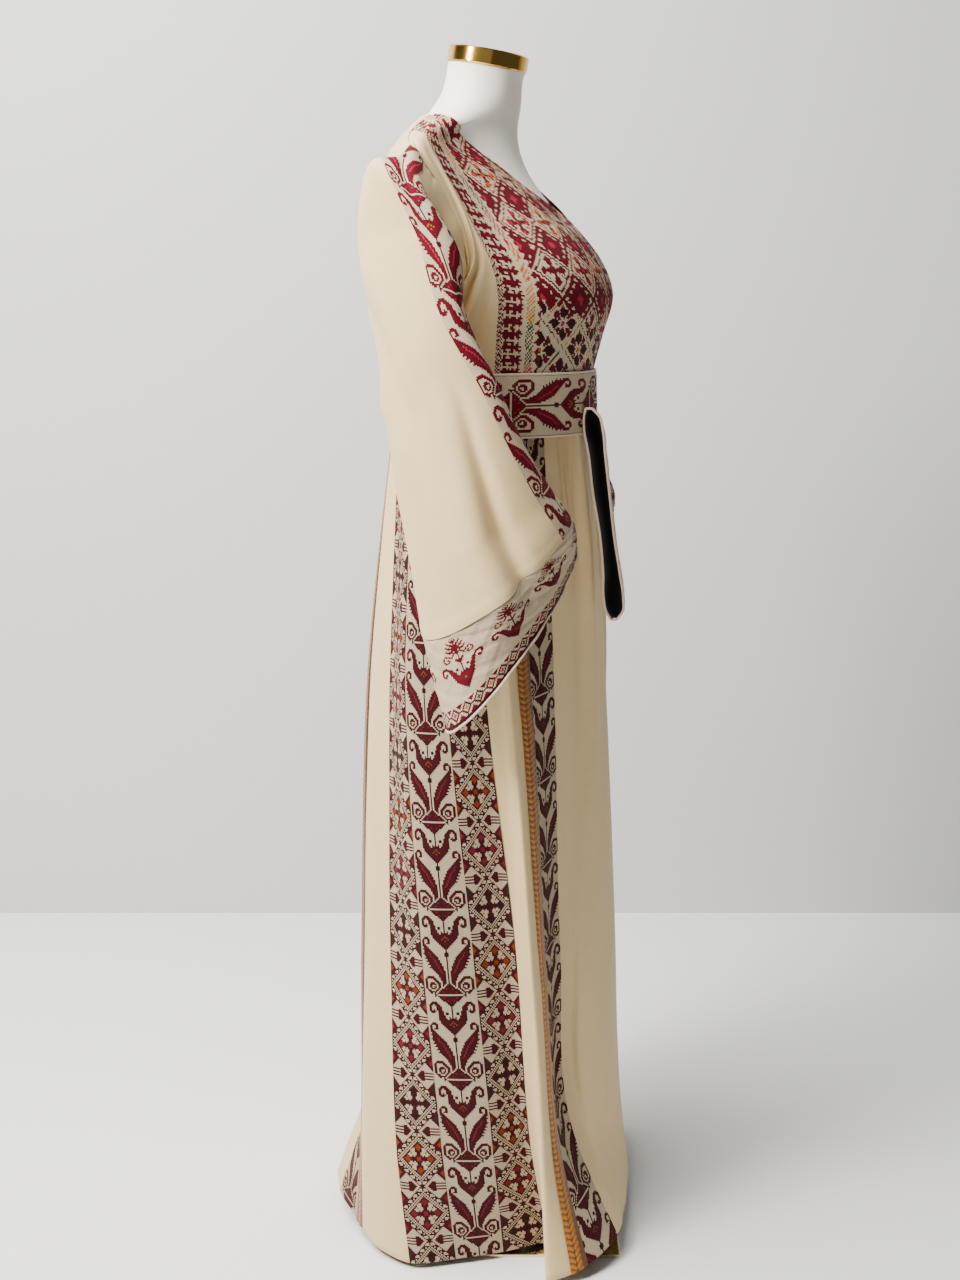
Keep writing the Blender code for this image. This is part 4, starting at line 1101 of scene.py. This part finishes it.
def upper_field(x, y):
    """Large diamonds, like those of the skirt, on a ground that is all stitched."""
    wide, tall = 2 * DIAMOND_HALF_WIDTH, 2 * DIAMOND_HALF_HEIGHT
    number = x // wide + y // tall
    column, row = x % wide, y % tall
    accent = "rpo"[number % 3]
    ring = abs(row - DIAMOND_HALF_HEIGHT) + abs(column - DIAMOND_HALF_WIDTH)
    if ring <= 11:
        return diamond_letter(column, row, accent)
    if ring in (12, 13, 16, 17):
        return "c"
    if ring in (14, 15):
        return accent if ring == 14 else "m"
    return "p" if ring > 31 else "c" if ring in (22, 23) and row % 4 < 2 else "r"


def lower_field(x, y):
    """Rosettes of eight petals in every opening of a lattice of pale bands."""
    period = CHEST_LOWER
    half = period // 2
    number = (x // period + y // period) % 4
    across, up = abs(x % period - half), abs(y % period - half)
    ring = across + up
    if ring == half:
        return "bogr"[number]
    if ring > half:
        across, up = half - across, half - up
        number = (number + 2) % 4
    near, far = min(across, up), max(across, up)
    if far <= 1:
        return "ypgo"[number]
    if far > 2 and near <= min(far - 3, 12 - far, 3):
        return "bmgm"[number] if near == 0 else "m"
    if near >= 3 and across + up <= half - 3 and far - near <= min(near - 2, 4):
        return "r"
    return "."


def chest_letter(out, up):
    """The thread at a number of stitches in from the panel's outer edge and up from the belt."""
    band = len(COMB_BAND[0])
    if out < band:
        return COMB_BAND[up % len(COMB_BAND)][out]
    out -= band + 2
    if out < 0:
        return "."
    if out < RIBBON_WIDTH:
        thread = RIBBON_THREADS[up // RIBBON_STRETCH % len(RIBBON_THREADS)]
        return thread if (out + up) % 2 else "."
    out -= RIBBON_WIDTH + 1
    if out < 3:
        return "r" if out >= abs(up % 6 - 3) else "."
    out -= 3
    if up < CHEST_CHANGE - out // 3:
        from_band = abs(out + up - BAND_PLACE)
        if from_band <= 3:
            return "b" if from_band == 0 else "."
        return lower_field(out, up)
    return upper_field(out, up - CHEST_CHANGE)


def chest_cells(points, stitch):
    """Thread numbers and stitch coordinates of the chest panel's right half, whose last column is its outer edge."""
    steps = np.linalg.norm(np.diff(points, axis=1), axis=2)
    inward = np.cumsum(steps[:, ::-1], axis=1)[:, ::-1]
    out = np.concatenate([inward, np.zeros((len(points), 1))], axis=1) / stitch
    rises = np.linalg.norm(np.diff(points, axis=0), axis=2)
    up = np.concatenate([np.zeros((1, points.shape[1])), np.cumsum(rises, axis=0)]) / stitch
    middle_out = (out[:-1, :-1] + out[1:, 1:]) / 2
    middle_up = (up[:-1, :-1] + up[1:, 1:]) / 2
    cells = np.zeros(middle_out.shape, int)
    for row in range(cells.shape[0]):
        for column in range(cells.shape[1]):
            letter = chest_letter(int(middle_out[row, column]), int(middle_up[row, column]))
            cells[row, column] = LETTERS.index(letter)
    return cells, out, up


def build_bodice():
    sizes, _ = settings()
    right_points = torso_patch(chest_edges(), CHEST_COLUMNS + 1, CHEST_ROWS + 1)
    points = np.concatenate([right_points[:, :0:-1] * (-1.0, 1.0, 1.0), right_points], axis=1)
    right, out, up = chest_cells(right_points, sizes.stitch)
    cells = np.concatenate([right[:, ::-1], right], axis=1)
    uv = (np.concatenate([out[:, :0:-1], out], axis=1), np.concatenate([up[:, :0:-1], up], axis=1))
    chest = stitched_sheet("chest_panel_cloth", points, cells, uv=uv)
    finish_piece(chest, "embroidered_cloth", "chest_panel")
    side = torso_patch(side_edges(), 33, 90)
    across, up = np.linspace(0, 1, 33)[None, :], np.linspace(0, 1, 90)[:, None]
    depth = side_creases(across, up) * sizes.crease
    side = side + normals(side) * depth[..., None]
    for name, grid, node in (("bodice_side_cloth_r", side, "bodice_side_r"),
                             ("bodice_side_cloth_l", mirrored(side), "bodice_side_l")):
        piece = grid_piece(name, grid, shared_material("cloth"))
        finish_piece(piece, "cream_cloth", node)
    back = torso_patch(back_edges(), 49, 90, both=True)[:, ::-1]
    across = np.linspace(-1, 1, back.shape[1])[None, :]
    depth = (0.25 * wave(5 * up + 2 * across, 6.0) - 0.5 * trough(across, 0.55, 0.08) * (1 - up)
             - 0.5 * trough(across, -0.55, 0.08) * (1 - up)) * sizes.crease
    back = back + normals(back) * depth[..., None]
    piece = grid_piece("bodice_back_cloth", back, shared_material("cloth"))
    finish_piece(piece, "cream_cloth", "bodice_back")


def side_creases(across, up):
    """Drag folds that run from the armhole down towards the belt."""
    slant = up + 0.35 * across
    depth = 0.0 * across * up
    for centre, width, amount in ((0.36, 0.04, -1.2), (0.46, 0.04, 1.7), (0.56, 0.035, -2.1), (0.66, 0.04, 1.8),
                                  (0.78, 0.04, -1.2)):
        depth = depth + amount * trough(slant, centre, width) * np.clip(across * 1.4, 0.0, 1.0)
    depth = depth - 0.8 * trough(across, 0.45, 0.16) * np.clip((up - 0.6) * 4, 0.0, 1.0)
    return depth * np.clip((0.97 - up) * 6, 0, 1)


# Sleeves


def sleeve_places(first, last, count):
    """Places down the sleeve from first to last, at even lengths along the overarm line."""
    fine = np.linspace(first, last, 400)
    overarm = sleeve_rings(fine)[:, 0]
    stops = np.concatenate([[0.0], np.cumsum(np.linalg.norm(np.diff(overarm, axis=0), axis=1))])
    return np.interp(np.linspace(0.0, stops[-1], count), stops, fine)


def strip_turn(places):
    """How far the strip turns outwards along the sleeve's girth, for a column of places."""
    return STRIP_TURN * np.clip((places[:, None] - 5.0) / 3.0, 0.0, 1.0) ** 1.5


def sleeve_grid(places, share):
    """Points of the sleeve's body at shares of the way from the strip's outer edge round to its inner edge."""
    rings = sleeve_rings(places)
    lengths = SLEEVE_STRIP_WIDTH / 2 + strip_turn(places) + share * (girths(rings) - SLEEVE_STRIP_WIDTH)
    return on_rings_by_length(rings, lengths)


def sleeve_creases(across, place):
    """Folds of the hanging sleeve: long soft ones, a deep bend into the cuff's corner and the cuff's pressed seam."""
    down = np.clip((place - 1.0) / 7.0, 0.0, 1.0)
    bend = np.clip((place - 4.6) / 2.4, 0.0, 1.0)
    depth = 0.8 * trough(across, 0.20 + 0.10 * down, 0.05) * np.clip(4 * (1 - down), 0, 1)
    depth = depth - 0.8 * trough(across, 0.30 + 0.06 * down, 0.05) * (1 - bend)
    depth = depth + 0.9 * trough(across, 0.42 - 0.08 * down, 0.07) * down
    depth = depth - 0.6 * trough(across, 0.65, 0.05) + 0.5 * trough(across, 0.75, 0.05)
    depth = depth - 3.4 * trough(across, 0.08 + 0.08 * bend, 0.030) * bend
    depth = depth + 2.6 * trough(across, 0.16 + 0.08 * bend, 0.055) * bend
    for centre, reach in ((0.035, 1.6), (0.075, 2.2), (0.12, 1.5), (0.94, 1.8), (0.975, 1.4)):
        fade = np.clip(np.minimum(1.0 - place / reach, 2.5 * place), 0.0, 1.0)
        depth = depth - 0.8 * trough(across, centre, 0.013) * fade
    depth = depth + 0.28 * np.clip((place - 7.80) / 0.04, 0.0, 1.0)
    return depth + 0.2 * wave(6 * down + 3 * across, 1.0)


# Grids of the sleeve's pieces, rows by columns
SLEEVE_BODY_GRID = (170, 110)
SLEEVE_STRIP_STITCHES = (236, 31)
SLEEVE_STRIP_START = 20
CUFF_STITCHES = (58, 296)
CUFF_VASES = 7
CUFF_VASE_SHIFT = 0.07
CUFF_DIAMOND = 10


def build_sleeve(side, suffix):
    """One sleeve: its body, the strip along the overarm, and the cuff with its cord."""
    sizes, _ = settings()
    rows, columns = SLEEVE_BODY_GRID
    places = sleeve_places(0.0, CUFF_SEAM_PLACE, rows)
    across = np.linspace(0.0, 1.0, columns)[None, :]
    body = sleeve_grid(places, across)
    depth = sleeve_creases(across, places[:, None]) * sizes.crease
    body = (body - normals(body) * depth[..., None])[::-1]
    rows, columns = SLEEVE_STRIP_STITCHES
    places = sleeve_places(0.0, CUFF_SEAM_PLACE, rows + 1)
    lengths = np.linspace(-SLEEVE_STRIP_WIDTH / 2, SLEEVE_STRIP_WIDTH / 2, columns + 1)[None, :]
    strip = on_rings_by_length(sleeve_rings(places), lengths + strip_turn(places))[::-1]
    floral = strip_cells(chart(FLORAL_HALF), rows, columns, SLEEVE_STRIP_START)
    rows, columns = CUFF_STITCHES
    rings = sleeve_rings(np.linspace(CUFF_SEAM_PLACE, MOUTH_PLACE, rows + 1))
    girth = girths(rings)
    lengths = np.arange(columns)[None, :] / columns * girth
    cuff = on_rings_by_length(rings, lengths)[::-1]
    round_cuff, down_cuff = lengths / girth.mean(), np.linspace(0.0, 1.0, rows + 1)[:, None]
    wrinkles = 0.22 * wave(40 * round_cuff + 6 * down_cuff, 3.0) + 0.16 * wave(25 * down_cuff - 50 * round_cuff, 5.0)
    tuck = 0.35 * trough(down_cuff, 1.0, 0.02)
    turn = strip_turn(np.array([CUFF_SEAM_PLACE]))
    across = (lengths[::-1] - SLEEVE_STRIP_WIDTH / 2 - turn) / (girth[::-1] - SLEEVE_STRIP_WIDTH)
    folds = sleeve_creases(across, ABOVE_SEAM_PLACE) * (across > 0.0) * np.clip(down_cuff * 1.5 - 0.5, 0.0, 1.0)
    cuff = cuff + normals(cuff, closed=True) * ((wrinkles - tuck + folds) * sizes.crease)[..., None]
    cells = cuff_cells(rows, columns)
    if side < 0:
        body, strip = mirrored(body), mirrored(strip)
        cuff = mirrored(cuff)
        cells = cells[:, ::-1]
    piece = grid_piece("sleeve_cloth" + suffix, body, shared_material("cloth"))
    finish_piece(piece, "cream_cloth", "sleeve" + suffix)
    piece = stitched_sheet("sleeve_strip_cloth" + suffix, strip, floral)
    finish_piece(piece, "embroidered_cloth", "sleeve_strip" + suffix)
    piece = stitched_sheet("cuff_cloth" + suffix, cuff, cells, closed=True)
    finish_piece(piece, "embroidered_cloth", "cuff" + suffix)
    edge = cuff[0]
    reach = (edge - cuff[2]) / np.linalg.norm(edge - cuff[2], axis=1)[:, None]
    tube("cuff_cord" + suffix, edge + reach * PIPING_RADIUS * 1.5, PIPING_RADIUS, "piping",
         "cream_piping", "cuff_piping" + suffix)


def cuff_cells(rows, columns):
    """Thread numbers of a cuff, bottom row first: the linked border, and vases above it."""
    cells = np.zeros((rows, columns), int)
    border = linked_diamonds(columns, CUFF_DIAMOND)
    cells[:border.shape[0]] = border
    vase = chart(VASE_HALF)[::-1]
    tall, wide = vase.shape
    start = border.shape[0] + 5
    for step in range(CUFF_VASES):
        centre = int((step + CUFF_VASE_SHIFT) * columns / CUFF_VASES)
        for column in range(wide):
            place = (centre - wide // 2 + column) % columns
            cells[start:start + tall, place] = vase[:, column]
    return cells


def tube(name, path, radius, material, slot, node, sides=8):
    """A closed ring of cord along a closed path of points."""
    count = len(path)
    along = np.roll(path, -1, axis=0) - np.roll(path, 1, axis=0)
    along = along / np.linalg.norm(along, axis=1)[:, None]
    across = np.empty_like(path)
    frame_axis = np.array(Vector(along[0]).orthogonal().normalized())
    for index in range(count):
        frame_axis = frame_axis - along[index] * frame_axis.dot(along[index])
        frame_axis = frame_axis / np.linalg.norm(frame_axis)
        across[index] = frame_axis
    over = np.cross(along, across)
    turn = 2 * np.pi * np.arange(sides) / sides
    points = (path[:, None] + radius * (across[:, None] * np.cos(turn)[None, :, None]
                                        + over[:, None] * np.sin(turn)[None, :, None]))
    index = np.arange(count * sides).reshape(count, sides)
    shift = int(np.argmin(np.linalg.norm(points[0] - points[-1, 0], axis=1)))
    after = np.concatenate([index[1:], np.roll(index[:1], -shift, axis=1)])
    a, b = index, np.roll(index, -1, axis=1)
    c, d = after, np.roll(after, -1, axis=1)
    faces = np.stack([a, b, d, c], axis=-1).reshape(-1, 4)
    finish_piece(link_mesh(name, points.reshape(-1, 3), faces.tolist(), shared_material(material)), slot, node)


# Belt and tail

BELT_REPEATS = 7
BELT_ROWS = 37
TAIL_STITCHES = (134, 36)
TAIL_START = 8
TAIL_WALL = 0.0016


def belt_points(places, levels, lift):
    """Grid on the belt's face: places round the torso, levels 0 bottom to 1 top, lifted off its inner face."""
    edges = []
    for height in (BELT_BOTTOM, BELT_TOP):
        rings = torso_rings(np.full(len(places), height))
        point = on_rings(rings, places[:, None])[:, 0]
        ahead = on_rings(rings, places[:, None] + 0.01)[:, 0]
        behind = on_rings(rings, places[:, None] - 0.01)[:, 0]
        along = ahead - behind
        outward = np.column_stack([-along[:, 1], along[:, 0], 0 * along[:, 0]])
        outward = outward / np.linalg.norm(outward, axis=1)[:, None]
        edges.append(point + outward * (BELT_EASE + lift))
    return edges[0][None] * (1 - levels[:, None, None]) + edges[1][None] * levels[:, None, None]


def build_belt():
    """The belt: its embroidered face, its velvet back and the cords along both edges."""
    unit = chart(FLORAL_HALF).T
    columns, rows = unit.shape[1] * BELT_REPEATS, BELT_ROWS
    places = np.arange(columns) / columns * ROUND_PLACES
    levels = np.linspace(0.0, 1.0, rows + 1)
    cells = np.zeros((rows, columns), int)
    start = (rows - unit.shape[0]) // 2
    cells[start:start + unit.shape[0]] = np.tile(unit, (1, BELT_REPEATS))
    half = columns // 2
    cells[:, half + 1:] = cells[:, :columns - half - 1][:, ::-1]
    outer = belt_points(places, levels, BELT_WALL)
    belt = stitched_sheet("belt_cloth", outer, cells, closed=True)
    finish_piece(belt, "embroidered_cloth", "belt")
    inner = belt_points(places[::4], levels[::4], 0.0004)[:, ::-1]
    lining = grid_piece("belt_lining_cloth", inner, shared_material("velvet"), closed=True)
    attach(lining, "root")
    for end, level, reach in (("top", 1.0, 1.0), ("bottom", 0.0, -1.0)):
        path = belt_points(places[::2], np.array([level]), BELT_WALL / 2)[0]
        tube("belt_cord_" + end, path + (0.0, 0.0, reach * (PIPING_RADIUS + SEAM_GAP)), PIPING_RADIUS, "piping",
             "cream_piping", "belt_piping_" + end)


def tail_grid(across, ups, inset):
    """The hanging tail, cupped like a gutter open to the wearer's right. inset moves it into the hollow."""
    table = np.array(TAIL_ROWS)
    heights = np.interp(ups * (len(table) - 1), np.arange(len(table)), table[:, 0])
    edges = along_track(table[:, 1:], table[:, 0], heights)
    top, bottom = table[-1, 0], table[0, 0]
    taper = np.minimum(1.0, np.minimum(0.45 + 12.0 * (heights - bottom), 0.45 + 12.0 * (top - heights)))
    turn = np.pi * (across + 1) / 2
    depth = (TAIL_DEPTH * taper[:, None] - inset) * np.clip(np.sin(turn), 0.0, 1.0)[None, :] ** 0.7
    middle, half = edges.mean(axis=1)[:, None], (edges[:, 0] - edges[:, 1])[:, None] / 2 - inset
    y = middle + half * np.cos(turn)[None, :]
    x = TAIL_OPEN_X + depth
    z = np.broadcast_to(heights[:, None], y.shape)
    return np.stack([x, y, z], axis=-1)


def build_tail():
    """The belt's hanging tail: its embroidered face, its velvet back and the cord round it."""
    rows, columns = TAIL_STITCHES
    across = np.linspace(-1.0, 1.0, columns + 1)
    ups = np.linspace(0.0, 1.0, rows + 1)
    cells = strip_cells(chart(FLORAL_HALF), rows, columns, TAIL_START)
    tail = stitched_sheet("belt_tail_cloth", tail_grid(across, ups, 0.0), cells)
    finish_piece(tail, "embroidered_cloth", "belt_tail")
    lining = grid_piece("belt_tail_lining_cloth", tail_grid(across[::-1], ups, TAIL_WALL), shared_material("velvet"))
    finish_piece(lining, "black_velvet", "belt_tail_lining")
    edge = tail_grid(np.array([-1.0, 1.0]), ups, TAIL_WALL / 2)
    path = np.concatenate([edge[:, 0], edge[::-1, 1]]) + (-PIPING_RADIUS, 0.0, 0.0)
    keep = np.concatenate([[True], np.linalg.norm(np.diff(path, axis=0), axis=1) > 1e-5])
    tube("belt_tail_cord", path[keep], PIPING_RADIUS, "piping", "cream_piping", "belt_tail_piping")


# Form, stand and studio


FORM_EDGE_ANGLE = math.radians(40.0)


def rounded_copy(node, material):
    """A finer, rounder surface on a solid of the form, which keeps the solid's sharp edges."""
    shell = bmesh.new()
    shell.from_mesh(node.data)
    shell.transform(node.matrix_world)
    bmesh.ops.remove_doubles(shell, verts=shell.verts, dist=0.00001)
    bmesh.ops.join_triangles(shell, faces=shell.faces, angle_face_threshold=FORM_EDGE_ANGLE,
                             angle_shape_threshold=FORM_EDGE_ANGLE)
    creases = shell.edges.layers.float.new("crease_edge")
    for edge in shell.edges:
        if edge.is_manifold and edge.calc_face_angle() > FORM_EDGE_ANGLE:
            edge[creases] = 1.0
            edge.smooth = False
    mesh = bpy.data.meshes.new(node.name + "_surface")
    shell.to_mesh(mesh)
    shell.free()
    mesh.materials.clear()
    mesh.materials.append(material)
    for face in mesh.polygons:
        face.use_smooth = True
    made = bpy.data.objects.new(node.name + "_surface", mesh)
    bpy.context.scene.collection.objects.link(made)
    rounding = made.modifiers.new("rounding", "SUBSURF")
    rounding.levels = rounding.render_levels = 1
    return made


def build_form():
    """Finishes on the pole and the plate, and finer surfaces for the form and its cap."""
    for node, kind in (("form_pole", "brass"), ("form_base", "mirror")):
        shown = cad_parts[node]
        shown.data.shade_smooth()
        shown.data.set_sharp_from_angle(angle=FORM_EDGE_ANGLE)
        shown.data.materials.clear()
        shown.data.materials.append(shared_material(kind))
    for node, kind, slot in (("form_body", "form", "form_ivory"), ("form_cap", "brass", "polished_brass")):
        finish_piece(rounded_copy(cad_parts[node], shared_material(kind)), slot, node)


CAMERA_TURN = math.radians(13.0)
CAMERA_PITCH = math.radians(11.36)
CAMERA_DISTANCE = 2.44
CAMERA_HEIGHT = 1.32
WALL_BEHIND = 1.17
FLOOR_NEAR = 6.0
WALL_HALF_WIDTH = 7.0
WALL_HEIGHT = 6.0


def area_light(name, place, target, size, power, colour):
    data = bpy.data.lights.new(name, "AREA")
    data.shape = "DISK"
    data.size = size
    data.energy = power
    data.color = colour
    made = bpy.data.objects.new(name, data)
    made.location = place
    made.rotation_euler = (target - place).to_track_quat("-Z", "Y").to_euler()
    bpy.context.scene.collection.objects.link(made)


def build_studio():
    """A pale floor and wall, the camera at the photo's viewing angle, three soft lights and a faint sky."""
    toward = Vector((-math.cos(CAMERA_TURN), -math.sin(CAMERA_TURN), 0.0))
    right = Vector((math.sin(CAMERA_TURN), -math.cos(CAMERA_TURN), 0.0))
    up = Vector((0.0, 0.0, 1.0))
    floor_pale = new_material("pale floor", srgb(240, 240, 238), 0.9)
    wall_pale = new_material("pale wall", srgb(212, 212, 209), 0.9)
    near, far, wide, high = FLOOR_NEAR, -WALL_BEHIND, WALL_HALF_WIDTH, WALL_HEIGHT
    floor = [toward * a + right * b for a, b in ((near, -wide), (near, wide), (far, wide), (far, -wide))]
    wall = [toward * far + right * b + up * c
            for b, c in ((-wide, 0.0), (wide, 0.0), (wide, high), (-wide, high))]
    for name, outline, pale in (("studio_floor", floor, floor_pale), ("studio_wall", wall, wall_pale)):
        link_mesh(name, [tuple(corner) for corner in outline], [(0, 1, 2, 3)], pale, smooth=False)
    camera_data = bpy.data.cameras.new("camera")
    camera_data.lens = 50.0
    camera = bpy.data.objects.new("camera", camera_data)
    camera.location = toward * CAMERA_DISTANCE + up * CAMERA_HEIGHT
    aim = -toward * math.cos(CAMERA_PITCH) - up * math.sin(CAMERA_PITCH)
    camera.rotation_euler = aim.to_track_quat("-Z", "Y").to_euler()
    bpy.context.scene.collection.objects.link(camera)
    bpy.context.scene.camera = camera
    area_light("key_light", toward * 1.2 - right * 1.5 + up * 2.4, up * 1.5, 0.9, 108.0, (1.0, 0.97, 0.92))
    area_light("fill_light", toward * 2.8 - right * 0.6 + up * 1.8, up * 0.9, 2.4, 3.0, (0.98, 0.98, 1.0))
    area_light("floor_light", up * 3.3 - right * 1.2 + toward * 0.6, toward * 0.6 - right * 0.4, 2.4, 200.0,
               (1.0, 1.0, 1.0))
    world = bpy.data.worlds.new("studio")
    bpy.context.scene.world = world
    world.use_nodes = True
    world.node_tree.nodes["Background"].inputs[0].default_value = (0.86, 0.88, 0.90, 1.0)
    world.node_tree.nodes["Background"].inputs[1].default_value = 0.10


# Add-on


class ThobeBuildSkirt(bpy.types.Operator):
    """Builds the skirt: embroidered strips, plain panels and gold braids"""
    bl_idname = "thobe.build_skirt"
    bl_label = "Skirt"

    def execute(self, context):
        build_skirt()
        return {"FINISHED"}


class ThobeBuildBodice(bpy.types.Operator):
    """Builds the chest panel, the sides and the back of the bodice"""
    bl_idname = "thobe.build_bodice"
    bl_label = "Bodice"

    def execute(self, context):
        build_bodice()
        return {"FINISHED"}


class ThobeBuildSleeves(bpy.types.Operator):
    """Builds both sleeves with their strips, cuffs and cords"""
    bl_idname = "thobe.build_sleeves"
    bl_label = "Sleeves"

    def execute(self, context):
        build_sleeve(1, "_r")
        build_sleeve(-1, "_l")
        return {"FINISHED"}


class ThobeBuildBelt(bpy.types.Operator):
    """Builds the belt with its lining and cords, and its hanging tail"""
    bl_idname = "thobe.build_belt"
    bl_label = "Belt"

    def execute(self, context):
        build_belt()
        build_tail()
        return {"FINISHED"}


class ThobeFinishForm(bpy.types.Operator):
    """Gives the dress form, its cap, pole and plate their finishes"""
    bl_idname = "thobe.finish_form"
    bl_label = "Dress form"

    def execute(self, context):
        build_form()
        return {"FINISHED"}


class ThobeBuildStudio(bpy.types.Operator):
    """Builds the floor, the wall, the lights and the camera"""
    bl_idname = "thobe.build_studio"
    bl_label = "Studio"

    def execute(self, context):
        build_studio()
        return {"FINISHED"}


BUILDERS = (ThobeBuildSkirt, ThobeBuildBodice, ThobeBuildSleeves, ThobeBuildBelt, ThobeFinishForm, ThobeBuildStudio)


class ThobePanel(bpy.types.Panel):
    bl_idname = "VIEW3D_PT_thobe"
    bl_label = "Thobe robe"
    bl_space_type = "VIEW_3D"
    bl_region_type = "UI"
    bl_category = "Thobe"

    def draw(self, context):
        layout = self.layout
        for group in (context.scene.thobe_sizes, context.scene.thobe_colours):
            for name in group.__annotations__:
                layout.prop(group, name)
        for builder in BUILDERS:
            layout.operator(builder.bl_idname)


CLASSES = (ThobeSizes, ThobeColours, *BUILDERS, ThobePanel)


def register():
    for item in CLASSES:
        bpy.utils.register_class(item)
    bpy.types.Scene.thobe_sizes = PointerProperty(type=ThobeSizes)
    bpy.types.Scene.thobe_colours = PointerProperty(type=ThobeColours)


def unregister():
    del bpy.types.Scene.thobe_sizes
    del bpy.types.Scene.thobe_colours
    for item in reversed(CLASSES):
        bpy.utils.unregister_class(item)


def main():
    register()
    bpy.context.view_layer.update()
    for builder in BUILDERS:
        category, name = builder.bl_idname.split(".")
        getattr(getattr(bpy.ops, category), name)()


if __name__ == "__main__":
    main()
